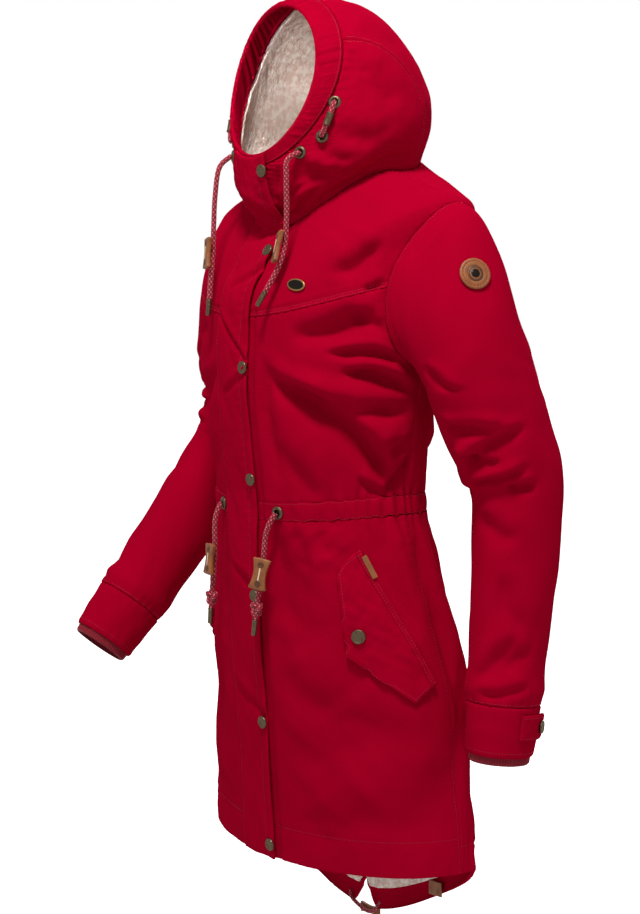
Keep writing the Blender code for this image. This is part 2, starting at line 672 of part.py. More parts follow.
def make_hood():
    gap = 0.0016
    turn = math.pi * 2
    ring = np.linspace(-math.pi, math.pi, RIM_PUCKERS * 2 + 1)[:-1]
    hood_wall("hood_rim", ring, [0.0, 0.5, 1.0 - 0.03], "shell", rim_puff, RIM_WALL, closed=True)
    back = list(np.linspace(1.03, HOOD_FOOT - 0.12, 11))
    strip = np.linspace(-STRIP_HALF + gap, STRIP_HALF - gap, 11)
    hood_wall("hood_centre", strip, back, "shell")
    side = np.linspace(STRIP_HALF + gap, math.pi - 0.0016, 12)
    hood_wall("hood_side_left", side, back, "shell")
    hood_wall("hood_side_right", -side[::-1], back, "shell")
    ring = np.linspace(-math.pi, math.pi, 25)[:-1]
    hood_wall("hood_lining", ring, [1.3, 2.3, 3.4, 4.6, 5.7, 6.7, 7.5], "fleece", None,
              FLEECE, closed=True, start=-SHELL - 0.0019)


# ------------------------------------------------------------------ sleeves and cuffs
def cuff_form(side, angle, along, taper, grow):
    """Straight continuation of the arm below the cuff seam: along in metres, grow widens it."""
    last = float(len(arm_rings(side)) - 1)
    middle, out, fore, across, deep, run = arm_frame(side, np.full(np.shape(angle), last))
    shrink = 1 - (1 - taper) * along / CUFF_LENGTH
    s, c = np.sin(angle)[..., None], np.cos(angle)[..., None]
    wide = (across * shrink + grow)[..., None]
    thick = (deep * shrink + grow)[..., None]
    return middle + run * np.asarray(along)[..., None] + out * c * wide + fore * s * thick


def cuff_wall(name, side, start, end, rows, taper, outer_grow, inner_grow, colour, columns=20):
    angle, along = np.meshgrid(np.linspace(0, 2 * math.pi, columns + 1)[:-1], np.linspace(start, end, rows))
    outer = cuff_form(side, angle, along, taper, outer_grow)
    inner = cuff_form(side, angle, along, taper, inner_grow)
    return wall(name, outer, inner, colour, closed=True)


def make_sleeves():
    for side, word in ((LEFT, "left"), (RIGHT, "right")):
        foot = sleeve_foot(side)
        levels = [0, 0.4, 0.9, 1.5, 2.2, 3, 3.6, 4.1, 4.4, 4.7, 5, 5.3, 5.7, 6.3, 7, 7.5]
        levels = np.array([v for v in levels if v < foot - 0.1] + [foot - 0.004])
        angle, level = np.meshgrid(np.linspace(0, 2 * math.pi, 17)[:-1], levels)
        outer = sleeve(side, angle, level)
        inner = inside_of(outer, sleeve_out(side, angle, level), SHELL)
        wall(f"sleeve_{word}", outer, inner, "shell", closed=True)
        cuff_wall(f"cuff_{word}", side, 0.0004, CUFF_LENGTH, 3, CUFF_TAPER, 0.0008,
                  0.0008 - CUFF_WALL, "shell")
        cuff_wall(f"rib_{word}", side, CUFF_LENGTH + RIB_SHOWS - RIB_LENGTH, CUFF_LENGTH + RIB_SHOWS, 2,
                  CUFF_TAPER, -0.0028, -0.0028 - RIB_WALL, "rib")
        angle, along = np.meshgrid(np.linspace(*TAB_ANGLES[side], 7), np.linspace(0.008, 0.036, 3))
        tip = np.array([0.0, 0.0, 0.0, 0.0, 0.0, 0.0006, 0.0016])
        outer = cuff_form(side, angle, along, CUFF_TAPER, 0.0008 + 0.0036 + tip)
        inner = cuff_form(side, angle, along, CUFF_TAPER, 0.0008 + 0.0010 + tip)
        wall(f"cuff_tab_{word}", outer, inner, "shell")
        angle = np.array(TAB_SNAP[side])
        spot = cuff_form(side, angle, np.array(0.022), CUFF_TAPER, 0.0008 + 0.0042 + 0.0006)
        middle = cuff_form(side, angle, np.array(0.022), CUFF_TAPER, -0.03)
        make_snap(f"snap_cuff_{word}", spot, spot - middle, SNAP_RADIUS)


TAB_ANGLES = {LEFT: (math.radians(10), math.radians(-52)), RIGHT: (math.radians(10), math.radians(-52))}
TAB_SNAP = {LEFT: math.radians(-36), RIGHT: math.radians(-36)}


# ------------------------------------------------------------------ pockets
# Corners of the pocket flap on the front skirt: body angle in degrees and height, from its top
# corner down its slanted back edge and round.
FLAP = (
    # corner        angle   z
    ("top",          60.0, -0.409),
    ("back foot",    83.0, -0.557),
    ("foot",         71.5, -0.577),
    ("front foot",   46.0, -0.525),
    ("front top",    47.5, -0.428),
)
FLAP_ROWS = 9
WELT = 0.006


def level_at(angle, z):
    """Body level of a height, found by halving."""
    low, high = 0.0, float(HEM_LEVEL)
    for _ in range(40):
        middle = (low + high) / 2
        if plain_body(np.array(angle), np.array(middle))[2] > z:
            low = middle
        else:
            high = middle
    return (low + high) / 2


def on_flap(u, v):
    """Body angle and height at fractions of the flap: u across from its front to its back, v down."""
    corner = {row[0]: np.array(row[1:]) for row in FLAP}
    if v < 0.72:
        front = corner["front top"] + (corner["front foot"] - corner["front top"]) * v / 0.72
    else:
        front = corner["front foot"] + (corner["foot"] - corner["front foot"]) * (v - 0.72) / 0.28
    back = corner["top"] + (corner["back foot"] - corner["top"]) * v
    return front + (back - front) * u


def body_spot(angle, z, out):
    level = level_at(angle, z)
    angle, level = np.array(float(angle)), np.array(level)
    return body(angle, level, out), outward(plain_body, angle, level)


def make_flap(side, word):
    outer, inner = [], []
    for v in np.linspace(0, 1, FLAP_ROWS):
        outs, ins = [], []
        for u in np.linspace(0, 1, 7):
            degrees, z = on_flap(u, v)
            angle = side * math.radians(degrees)
            crown = 0.0018 * math.sin(math.pi * u) * math.sin(math.pi * min(v * 1.1, 1))
            outs.append(body_spot(angle, z, LIFT + 0.0003 + FLAP_WALL + crown)[0])
            ins.append(body_spot(angle, z, LIFT + 0.0003)[0])
        outer.append(outs)
        inner.append(ins)
    wall(f"pocket_flap_{word}", np.array(outer), np.array(inner), "shell")
    degrees, z = on_flap(0.22, 0.58)
    spot, normal = body_spot(side * math.radians(degrees), z, LIFT + 0.0003 + FLAP_WALL + 0.0015)
    make_snap(f"snap_flap_{word}", spot, normal, SNAP_RADIUS * 1.12)


# ------------------------------------------------------------------ snaps, badges, eyelets
def make_snap(name, point, normal, radius):
    """Press-snap cap: a low turned dome with a raised rim."""
    profile = ((0.0, 0.0014), (radius * 0.62, 0.0013), (radius * 0.82, 0.0022), (radius, 0.0008),
               (radius, 0.0), (0.0, 0.0))
    thing = turned(name, profile, "brass")
    place(thing, point, normal)


def make_placket_snaps(levels, base, normal):
    """Seven snaps down the free edge, at real heights."""
    out = SEAM_GAP + 0.0006 + PLACKET_WALL + 0.0019
    middle = base[:, -2] * 0.28 + base[:, -1] * 0.72
    way = normal[:, -2] + normal[:, -1]
    for number, z in enumerate(SNAP_HEIGHTS, 1):
        order = np.argsort(middle[:, 2])
        spot = np.array([np.interp(z, middle[order, 2], middle[order, i]) for i in range(3)])
        face = np.array([np.interp(z, middle[order, 2], way[order, i]) for i in range(3)])
        face = face / np.linalg.norm(face)
        make_snap(f"snap_front_{number}", spot + face * out, face, SNAP_RADIUS)


SNAP_HEIGHTS = (0.000, -0.090, -0.215, -0.339, -0.470, -0.615, -0.758)


def make_eyelet(name, point, normal, radius):
    profile = ((radius * 0.45, 0.0), (radius * 0.48, 0.0012), (radius * 0.75, 0.0018), (radius, 0.0008),
               (radius, 0.0), (radius * 0.45, 0.0))
    thing = turned(name, profile, "brass")
    place(thing, point, normal)


def make_badges():
    """Round leather badge on the left upper sleeve and the small oval badge on the left yoke."""
    angle, level = np.array(BADGE_ANGLE), np.array(BADGE_LEVEL)
    spot = sleeve(LEFT, angle, level, 0.0004)
    normal = sleeve_out(LEFT, angle, level)
    radius = 0.0170
    thing = turned("badge_sleeve", ((0.0, 0.0020), (radius * 0.86, 0.0020), (radius, 0.0012),
                                    (radius, 0.0), (0.0, 0.0)), "leather", 24)
    place(thing, spot, normal)
    spot, normal = body_spot(math.radians(27), -0.124, 0.0002)
    outline = [(0.0125 * math.cos(a), 0.0068 * math.sin(a)) for a in np.linspace(0, 2 * math.pi, 21)[:-1]]
    thing = plate("badge_chest", outline, 0.0020, "brass", 0.0004)
    place(thing, spot + normal * 0.0010, normal, (0.12, 0, 1))


BADGE_ANGLE = math.radians(17)
BADGE_LEVEL = 1.50


# ------------------------------------------------------------------ cords with toggles and tips
# Routes start just outside their eyelet and end at the tip. Each point is x, y, z.
CORDS = {
    "hood_left": ((0.0665, -0.1060, 0.0100), (0.0660, -0.1070, -0.0120),
                  (0.0650, -0.1060, -0.0450), (0.0640, -0.1075, -0.0780), (0.0655, -0.1165, -0.1030),
                  (0.0600, -0.1306, -0.1310)),
    "hood_right": ((-0.0650, -0.1075, 0.0050), (-0.0625, -0.1150, -0.0270),
                   (-0.0595, -0.1190, -0.0600), (-0.0545, -0.1240, -0.0950), (-0.0510, -0.1290, -0.1220),
                   (-0.0490, -0.1320, -0.1420)),
    "waist_left": ((0.0525, -0.1215, -0.3870), (0.0500, -0.1245, -0.4000),
                   (0.0470, -0.1260, -0.4300), (0.0440, -0.1290, -0.4600), (0.0415, -0.1310, -0.4800),
                   (0.0405, -0.1320, -0.4930)),
    "waist_right": ((-0.0535, -0.1215, -0.3870), (-0.0520, -0.1245, -0.4000),
                    (-0.0500, -0.1260, -0.4300), (-0.0495, -0.1290, -0.4600), (-0.0505, -0.1305, -0.4800),
                    (-0.0510, -0.1310, -0.4930)),
}
EXIT_ANGLE = math.radians(140)
EXIT_LEVEL = 1.86
EYELET_X = 0.054
CORD_STAND = {"hood": 0.0027, "wais": 0.0040}
TOGGLE_AT = {"hood_left": 0.68, "hood_right": 0.70, "waist_left": 0.58, "waist_right": 0.54}
TOGGLE_CLEAR = {"hood_left": 0.0020, "hood_right": 0.0006, "waist_left": 0.0006, "waist_right": 0.0006}
TOGGLE_TURN = {"hood_left": -0.45, "hood_right": -0.35, "waist_left": 0.70, "waist_right": -0.15}
TIP_LENGTH = 0.018


def toggle_outline():
    """Bone-shaped leather toggle, waisted in the middle, its length along Y."""
    points = []
    for k in range(7):
        t = k / 6 * 2 - 1
        points.append((0.0075 + 0.0028 * abs(t) ** 1.6, 0.0175 * t))
    return points + [(-x, y) for x, y in reversed(points)]


def cord_route(name, hang):
    """A cord's points: its middle as it leaves the eyelet, then its hanging points."""
    side = LEFT if name.endswith("left") else RIGHT
    if name.startswith("hood"):
        angle, level = np.array(side * EXIT_ANGLE), np.array(EXIT_LEVEL)
        start, normal = hood(angle, level), hood_out(angle, level)
    else:
        level = np.array(float(WAIST_LEVEL))
        angle = front_angle(side * EYELET_X, level)
        start, normal = body(angle, level), outward(plain_body, angle, level)
    return [start + normal * CORD_STAND[name[:4]]] + [np.array(p) for p in hang]


def make_cord(name, hang):
    route = cord_route(name, hang)
    curve = smooth_route(route, 0.002)
    run = curve[-1] - curve[-4]
    run = run / np.linalg.norm(run)
    tube(f"cord_{name}", route, CORD_RADIUS, "cord")
    tip = turned(f"tip_{name}", ((0.0, 0.0), (0.0028, 0.0), (0.0031, -0.0012), (0.0028, -TIP_LENGTH),
                                 (0.0, -TIP_LENGTH)), "brass", 12)
    place(tip, curve[-1] + run * 0.0004, -run, (0, 1, 0))
    spot = curve[int(len(curve) * TOGGLE_AT[name])]
    nearby = curve[int(len(curve) * TOGGLE_AT[name]) + 3]
    way = (nearby - spot) / np.linalg.norm(nearby - spot)
    face = np.array([TOGGLE_TURN[name], -1.0, 0.0])
    face = face - way * (face @ way)
    face = face / np.linalg.norm(face)
    toggle = plate(f"toggle_{name}", toggle_outline(), 0.0050, "leather", 0.0012)
    place(toggle, spot + face * (CORD_RADIUS + 0.0025 + TOGGLE_CLEAR[name]), face, -way)


def make_hood_loops():
    """Cord loop between two eyelets on the hood rim, with a tube bead, one on each side."""
    for side, word in ((LEFT, "left"), (RIGHT, "right")):
        top, foot = LOOP_TOP, LOOP_FOOT
        points = []
        for t, rise in ((0, 0.0032), (0.12, 0.0052), (0.5, 0.0066), (0.88, 0.0052), (1, 0.0032)):
            angle = side * (top[0] + (foot[0] - top[0]) * t)
            level = top[1] + (foot[1] - top[1]) * t
            points.append(hood(np.array(angle), np.array(level), rise))
        tube(f"hood_loop_{word}", points, CORD_RADIUS, "cord")


LOOP_TOP = (math.radians(105), 1.32)
LOOP_FOOT = (math.radians(125), 2.12)


def make_waist_eyelets():
    for side, word in ((LEFT, "left"), (RIGHT, "right")):
        angle = front_angle(EYELET_X * side, WAIST_LEVEL)
        level = np.array(float(WAIST_LEVEL))
        spot = body(angle, level, 0.0004)
        make_eyelet(f"eyelet_waist_{word}", spot, outward(plain_body, angle, level), 0.0075)


def make_trims():
    """Leather pocket tag, hem label and the hem toggle at the vent."""
    degrees, z = on_flap(1.0, 0.13)
    spot, normal = body_spot(math.radians(degrees), z, LIFT + 0.0003 + FLAP_WALL + 0.0005)
    outline = ((-0.0030, -0.0135), (0.0030, -0.0135), (0.0030, 0.0135), (-0.0030, 0.0135))
    tag = plate("pocket_tag", outline, 0.0012, "leather", 0.0003)
    place(tag, spot + normal * 0.0006, normal, (-0.35, -0.35, 0.9))
    label_angle, label_level = np.array(math.radians(148)), np.array(12.86)
    normal = outward(plain_body, label_angle, label_level)
    spot = body(label_angle, label_level, -SHELL - 0.0014)
    outline = ((-0.0100, -0.0080), (0.0100, -0.0080), (0.0100, 0.0080), (-0.0100, 0.0080))
    label = plate("hem_label", outline, 0.0018, "leather", 0.0003)
    place(label, spot, -normal)
    corner = body(np.array(BACK - VENT_HALF / VENT_RADIUS), np.array(float(HEM_LEVEL)))
    spot = corner + np.array([-0.0176, -0.0012, -0.0060])
    toggle = plate("hem_toggle", [(x * 0.60, y) for x, y in toggle_outline()], 0.0042, "leather", 0.0009)
    place(toggle, spot, (0, 1, 0), (1, 0, 0))


# ------------------------------------------------------------------ build
clear_scene()
PARKA = new_collection("parka")
make_hood()
make_fronts()
make_backs()
make_waist_tunnel()
placket_levels, placket_base, placket_normal = make_placket()
make_placket_snaps(placket_levels, placket_base, placket_normal)
make_sleeves()
make_flap(LEFT, "left")
make_flap(RIGHT, "right")
make_badges()
for cord_name, hanging in CORDS.items():
    make_cord(cord_name, hanging)
make_hood_loops()
make_waist_eyelets()
make_trims()
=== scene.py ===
"""Looks of the hooded parka: fine cloth shells on the CAD forms, stitching, fleece, cords and finishes.

Metres, +Z up; the wearer faces -Y and the wearer's left is +X. The forms and their tables are those
of the CAD part, read here at a finer spacing, with the creases that the photo shows added.
"""
import math

import bpy
import numpy as np
from mathutils import Matrix, Vector


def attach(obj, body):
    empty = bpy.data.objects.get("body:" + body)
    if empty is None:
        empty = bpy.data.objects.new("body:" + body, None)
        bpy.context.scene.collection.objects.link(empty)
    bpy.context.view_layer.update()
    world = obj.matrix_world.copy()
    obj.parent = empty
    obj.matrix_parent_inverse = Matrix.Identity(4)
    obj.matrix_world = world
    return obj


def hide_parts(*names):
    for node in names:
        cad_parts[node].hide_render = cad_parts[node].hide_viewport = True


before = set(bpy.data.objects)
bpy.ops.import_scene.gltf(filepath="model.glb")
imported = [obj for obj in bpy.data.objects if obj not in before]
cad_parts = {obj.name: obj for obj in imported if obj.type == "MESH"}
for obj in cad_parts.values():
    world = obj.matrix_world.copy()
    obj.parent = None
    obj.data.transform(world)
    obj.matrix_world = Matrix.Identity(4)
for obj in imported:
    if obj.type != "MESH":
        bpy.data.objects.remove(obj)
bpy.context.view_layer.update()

# ------------------------------------------------------------------ camera
VIEW_AZIMUTH = math.radians(54)
VIEW_ELEVATION = math.radians(6)
VIEW_DISTANCE = 2.4
FRAME_HEIGHT = 1.0511         # height seen at the garment's middle
TARGET_HEIGHT = -0.324
TARGET_SHIFT = -0.0115

camera_data = bpy.data.cameras.new("photo camera")
camera_data.sensor_fit = "VERTICAL"
camera_data.sensor_height = 24
camera_data.lens = 24 * VIEW_DISTANCE / FRAME_HEIGHT
camera = bpy.data.objects.new("photo camera", camera_data)
bpy.context.scene.collection.objects.link(camera)
view_right = Vector((math.cos(VIEW_AZIMUTH), math.sin(VIEW_AZIMUTH), 0))
towards = Vector((math.sin(VIEW_AZIMUTH) * math.cos(VIEW_ELEVATION),
                  -math.cos(VIEW_AZIMUTH) * math.cos(VIEW_ELEVATION), math.sin(VIEW_ELEVATION)))
camera.location = Vector((0, 0, TARGET_HEIGHT)) + view_right * TARGET_SHIFT + towards * VIEW_DISTANCE
camera.rotation_euler = (-towards).to_track_quat("-Z", "Y").to_euler()
bpy.context.scene.camera = camera

# ------------------------------------------------------------------ sizes shared with the CAD part
SHELL = 0.0026
TURNED_IN = 0.0030
DENSITY = 0.75                 # share of the full count of rows and columns in the cloth grids
RIM_WALL = 0.0050
FLEECE = 0.0040
RIB_WALL = 0.0022
CUFF_WALL = 0.0032
FLAP_WALL = 0.0026
FLAP_LIFT = 0.0012
PLACKET_RIGHT = -0.036
PLACKET_LEFT = 0.025
PLACKET_WALL = 0.0030
PLACKET_LIFT = 0.0009
BESIDE_PLACKET = 0.0048        # middle of the hollow the placket edge leaves
CORD_RADIUS = 0.0029
CORD_STRANDS = 4
CORD_PITCH = 170.0             # strand turns a metre
HEM_CORD_RADIUS = 0.0023
ROUTE_STEP = 0.0006
SEAM = 0.00015
SEAM_ANGLE = SEAM / 0.18
FRONT_GAP = 0.0008             # angle left free at the front and back middle
LEVEL_GAP = 0.004
PANEL_PUCKER = 0.0003
ARM_HOLE_TOP = 2
ARM_HOLE_FOOT = 6
YOKE_LEVEL = 4
WAIST_LEVEL = 9
HEM_LEVEL = 13
TUNNEL_UP = 0.29
TUNNEL_DOWN = 0.20
BODICE_FOOT = WAIST_LEVEL - TUNNEL_UP
SKIRT_TOP = WAIST_LEVEL + TUNNEL_DOWN
GATHERS_START = 0.42           # angle from the front where the waist starts to be drawn in
GATHERS_FADE = 0.15
ARM_HOLE_FRONT = math.radians(25)
ARM_HOLE_BACK = math.radians(25)
HOLE_MIDDLE = (ARM_HOLE_FOOT + ARM_HOLE_TOP) / 2
HOLE_HALF = (ARM_HOLE_FOOT - ARM_HOLE_TOP) / 2
HOLE_ROW = 0.045               # height of a body level beside the arm hole
SIDE = math.radians(90)
BACK = math.pi
RIGHT, LEFT = -1, 1
WORD = {LEFT: "left", RIGHT: "right"}
TURN = 2 * math.pi
VENT_LEVEL = 12.75
VENT_HALF = 0.022
VENT_RADIUS = 0.2
CUFF_LENGTH = 0.056
CUFF_TAPER = 0.90
RIB_LENGTH = 0.030
RIB_SHOWS = 0.009
CAP_LEVELS = 3

BODY = (
    # ring           z front  z side  z back  half w  middle  front   back  corner
    ("neck",         -0.064,    0.0,  0.018,    0.1,   0.01,  0.09, 0.092,    2.0),
    ("collarbone",   -0.086, -0.018,  -0.01,   0.15,   0.02, 0.114, 0.096,    2.0),
    ("shoulder",      -0.11, -0.036, -0.054,   0.19,  0.028, 0.136, 0.086,    2.2),
    ("arm hole",     -0.134, -0.078, -0.096,  0.188,   0.02, 0.142, 0.084,    2.3),
    ("yoke seam",     -0.16, -0.118, -0.138,  0.184,  0.012,  0.14, 0.084,    2.3),
    ("chest",        -0.198, -0.166, -0.178,   0.18,  0.002, 0.132, 0.086,    2.3),
    ("arm pit",      -0.236, -0.212, -0.218,  0.174, -0.004, 0.126, 0.086,    2.3),
    ("ribs",         -0.292,  -0.28, -0.282,  0.164, -0.008, 0.118,  0.08,    2.3),
    ("above waist",  -0.342,  -0.33, -0.328,  0.154, -0.008, 0.112, 0.072,    2.4),
    ("waist",        -0.376, -0.364, -0.368,   0.15, -0.008,  0.11,  0.07,    2.5),
    ("high hip",     -0.434, -0.424, -0.422,  0.162,    0.0, 0.117,  0.07,    2.8),
    ("hip",          -0.534, -0.526, -0.528,  0.185,  0.016, 0.128, 0.062,    3.6),
    ("thigh",        -0.646, -0.642, -0.656,    0.2,  0.025, 0.127, 0.042,    5.5),
    ("hem",          -0.775, -0.768, -0.864,   0.21,  0.025, 0.119, 0.032,    7.0),
)
HOOD = (
    # ring      collar y  collar z  crown y  crown z  half w  side lift  side back
    ("rim",      -0.107,    0.016,  -0.066,   0.185,  0.079,       0.0,     0.009),
    ("tunnel",   -0.106,    0.004,  -0.036,   0.192,  0.091,       0.0,     0.016),
    ("brow",     -0.105,   -0.006,   0.002,   0.193,  0.103,       0.0,     0.012),
    ("ear",      -0.104,   -0.016,   0.044,   0.178,  0.112,     0.002,     0.006),
    ("crown",    -0.102,   -0.026,   0.082,   0.147,  0.117,     0.006,       0.0),
    ("back",     -0.098,   -0.035,   0.105,   0.104,  0.118,     0.012,       0.0),
    ("nape",     -0.094,   -0.045,   0.113,   0.063,  0.116,     0.018,       0.0),
    ("roll",     -0.088,   -0.054,    0.11,   0.037,   0.11,      0.02,       0.0),
    ("neck",      -0.08,  -0.0625,   0.102,  0.0185,    0.1,      0.02,       0.0),
)
HOOD_FOOT = 8
HOOD_JOIN = 5.0
HOOD_RISE = 0.009
STRIP_HALF = math.radians(63)
TAIL_START = math.radians(128)
TAIL_START_RIGHT = math.radians(118)
TAIL_BEND = 1.1
TAIL_LEVEL = 11
SLEEVE_LEFT = (
    # ring             x      y       z  across   deep
    ("upper arm", 0.228, 0.029, -0.216,  0.051, 0.064),
    ("biceps",    0.236, 0.048, -0.274,  0.051, 0.061),
    ("elbow",     0.241, 0.073, -0.338,  0.048, 0.054),
    ("forearm",   0.242, 0.071,  -0.42,  0.045, 0.049),
    ("low arm",   0.242, 0.063,   -0.5,  0.042, 0.045),
    ("cuff seam", 0.242, 0.056, -0.574,  0.039, 0.041),
)
SLEEVE_RIGHT = (
    ("upper arm", -0.2205,  0.028, -0.214, 0.044,  0.06),
    ("biceps",     -0.228,  0.033,  -0.27, 0.046, 0.056),
    ("elbow",      -0.236,  0.015, -0.338, 0.046,  0.05),
    ("forearm",    -0.243,  -0.03, -0.404, 0.045, 0.048),
    ("low arm",    -0.249, -0.076, -0.463, 0.042, 0.045),
    ("cuff seam",  -0.254, -0.118, -0.516, 0.039, 0.042),
)
FLAP = (
    # corner        angle       z
    ("top",         60.0, -0.409),
    ("back foot",   83.0, -0.557),
    ("foot",        71.5, -0.577),
    ("front foot",  46.0, -0.525),
    ("front top",   47.5, -0.428),
)

# ------------------------------------------------------------------ creases
# Folds: body angle in degrees and height of both ends, half width and depth (negative is a trough).
# Creases also have the sideways bow of their middle and the height of the soft ridge beside them.
BODY_FOLDS = (
    # fold           angle0      z0  angle1      z1  half w    depth
    ("under yoke",      36, -0.176,     62, -0.168,  0.018,  -0.006),
    ("arm pit",         42, -0.222,     95, -0.236,   0.02,  -0.008),
    ("bust drag",       22, -0.226,     92, -0.348,   0.02, -0.0085),
    ("bust ridge",      34,   -0.2,     80,  -0.29,  0.024,   0.005),
    ("skirt front",     24, -0.395,     33,  -0.49,  0.022, -0.0065),
    ("skirt side",      96, -0.395,    106,  -0.56,  0.026,  -0.007),
    ("flap drag",       22,  -0.62,     46,  -0.57,  0.026,  -0.006),
    ("hem side",        66,  -0.74,    100,  -0.62,  0.028,  -0.006),
    ("back drag",      120,  -0.24,    162,  -0.34,  0.024,  -0.007),
    ("back waist",     118, -0.395,    136,  -0.52,  0.024, -0.0065),
    ("back skirt",     160, -0.395,    150,  -0.58,  0.024, -0.0065),
    ("seat",           142,  -0.62,    118,  -0.72,  0.028,  -0.006),
)
BODY_CREASES = (
    # crease             angle0      z0  angle1      z1     bow  half w    depth   ridge
    ("yoke shadow",         30,  -0.18,     62,  -0.15,  0.004,  0.011, -0.0044,  0.002),
    ("yoke end",            50, -0.152,     74, -0.172,  0.003,  0.007, -0.0036, 0.0016),
    ("yoke dent",           42, -0.112,     58, -0.082,  0.004,  0.012, -0.0046, 0.0016),
    ("yoke pull",           56, -0.128,     64, -0.118,  0.002,  0.005, -0.0022,  0.001),
    ("pit one",             44, -0.197,     80, -0.206, -0.005,  0.006,  -0.005,  0.003),
    ("pit two",             52, -0.217,     84, -0.236, -0.004,  0.007, -0.0062, 0.0036),
    ("pit three",           30, -0.238,     84, -0.258,   0.01, 0.0105, -0.0078, 0.0038),
    ("drag start",          19, -0.222,     50,  -0.27,  0.005,   0.01, -0.0074, 0.0034),
    ("drag end",            47, -0.264,     76, -0.334, -0.005,  0.011, -0.0072,  0.004),
    ("drag fork",           70,   -0.3,     88, -0.296,  0.003,  0.008,  -0.003, 0.0016),
    ("waist fork",          62, -0.334,     76,  -0.35,  0.003,  0.006, -0.0036, 0.0018),
    ("waist rise",          78, -0.352,     92, -0.308,  0.003,  0.008, -0.0044,  0.002),
    ("placket rise",        16,  -0.21,     21,  -0.33,  0.004,  0.011, -0.0034, 0.0014),
    ("low drag",            24,   -0.3,     40, -0.352,  0.005,  0.013, -0.0026, 0.0014),
    ("skirt fall",          19, -0.394,     25,   -0.5,  0.006, 0.0202,  -0.004, 0.0026),
    ("skirt short",         31, -0.392,     35, -0.436,  0.003, 0.0132, -0.0029, 0.0018),
    ("skirt middle",        42, -0.392,     45, -0.418,  0.002, 0.0124, -0.0022, 0.0014),
    ("skirt side fall",     68, -0.392,     80,   -0.5,  0.005, 0.0202,  -0.003,  0.002),
    ("placket pull",        16, -0.556,     36, -0.592,  0.005, 0.0202, -0.0021,  0.002),
    ("flap foot one",       19, -0.652,     56, -0.606,  0.008, 0.0248, -0.0023, 0.0022),
    ("flap foot two",       40, -0.596,     72, -0.632, -0.006, 0.0202, -0.0019, 0.0018),
    ("hem rise one",        20, -0.718,     34, -0.738,  0.004, 0.0186, -0.0016, 0.0016),
    ("hem rise two",        30, -0.722,     54, -0.696,  0.004, 0.0232, -0.0018, 0.0018),
    ("hem rise three",      56, -0.726,     84,  -0.64,  0.006, 0.0279, -0.0017, 0.0018),
    ("side fall",           92,   -0.4,     98,  -0.56,  0.006, 0.0217, -0.0032,  0.002),
    ("back pit one",       108, -0.205,    146,  -0.19,  0.006,  0.009, -0.0044,  0.002),
    ("back pit two",       104, -0.236,    150, -0.262,  0.006,  0.009, -0.0046, 0.0022),
    ("back drag",          112,  -0.29,    160, -0.344,  0.006,   0.01, -0.0044,  0.002),
    ("back middle",        150,  -0.15,    176, -0.215,  0.006,  0.012, -0.0026, 0.0012),
    ("back fall one",      124, -0.396,    130,  -0.52,  0.006,  0.017, -0.0029, 0.0018),
    ("back fall two",      146, -0.396,    142,  -0.47,  0.004, 0.0155, -0.0025, 0.0016),
    ("back fall three",    168, -0.398,    160,  -0.56,  0.006, 0.0186, -0.0027, 0.0018),
    ("seat pull",          112,   -0.6,    150,  -0.66,  0.008, 0.0232, -0.0014, 0.0014),
    ("low back",           108,  -0.73,    140,  -0.76,  0.008, 0.0232, -0.0013, 0.0012),
)
FOLD_RADIUS = 0.15
FAR_SIDE = 0.85
FAR_CREASE = 0.4
HOOD_GAIN = 1.05
GATHERS = 44
# Sleeve creases: angle in degrees (0 outside, 90 front, 180 inside) and sleeve level.
SLEEVE_FOLDS = (
    # fold           angle0  level0  angle1  level1  half w   depth
    ("cap crease",      70,    1.2,     96,    2.6,  0.018, -0.004),
    ("elbow high",      84,    3.6,     36,   3.85,  0.015, -0.006),
    ("elbow",           92,    4.2,     24,    4.1,  0.016, -0.007),
    ("elbow low",       80,    4.8,     14,   4.92,  0.016, -0.005),
    ("cuff puff",       70,   7.45,     10,   7.15,  0.018, -0.004),
    ("back crease",    235,    4.3,    300,    5.4,   0.02, -0.005),
)
SLEEVE_CREASES = (
    # crease             angle0  level0  angle1  level1     bow  half w    depth   ridge
    ("pit fan one",         96,    2.3,     60,    3.1,  0.002,  0.006,  -0.003, 0.0014),
    ("elbow fan one",      100,   3.62,     28,   3.86,  0.004,  0.006,  -0.005, 0.0026),
    ("elbow fan two",       98,    4.1,     44,   4.36,  0.003, 0.0055,  -0.005, 0.0026),
    ("elbow fan three",     92,   4.28,      6,   4.02, -0.004,  0.007, -0.0052, 0.0028),
    ("elbow fan four",      96,   4.62,     20,    4.6,  0.003,  0.006, -0.0044, 0.0022),
    ("elbow dent",          48,   4.86,     14,   4.94,  0.002,  0.006, -0.0042, 0.0016),
    ("elbow back",         -60,    3.6,    -50,    4.0,  0.002,  0.008, -0.0016, 0.0006),
    ("elbow under",        180,    4.3,    110,    4.9,  0.004,  0.007, -0.0044, 0.0022),
    ("forearm one",         96,    5.4,     40,    5.7,  0.004,   0.01, -0.0026, 0.0012),
    ("forearm two",         60,    6.2,     20,    6.9,  0.004,  0.012, -0.0022,  0.001),
    ("cuff one",            88,   7.55,     30,   7.02,  0.003,  0.008, -0.0022, 0.0012),
    ("cuff two",            80,   7.78,      6,   7.62,  0.003,  0.006,  -0.003, 0.0016),
    ("cuff three",          44,   7.36,      4,   7.16,  0.002,  0.007, -0.0016, 0.0008),
    ("cuff four",          250,   7.75,    200,    7.3,  0.003,  0.007,  -0.003, 0.0014),
    ("cap fall",           300,    1.2,    285,    2.6,  0.004,   0.01, -0.0026, 0.0012),
    ("shoulder dent",       18,    0.3,     60,    0.5,  0.002,  0.006, -0.0014, 0.0006),
)
SLEEVE_RADIUS = 0.05
SLEEVE_ROW = 0.07
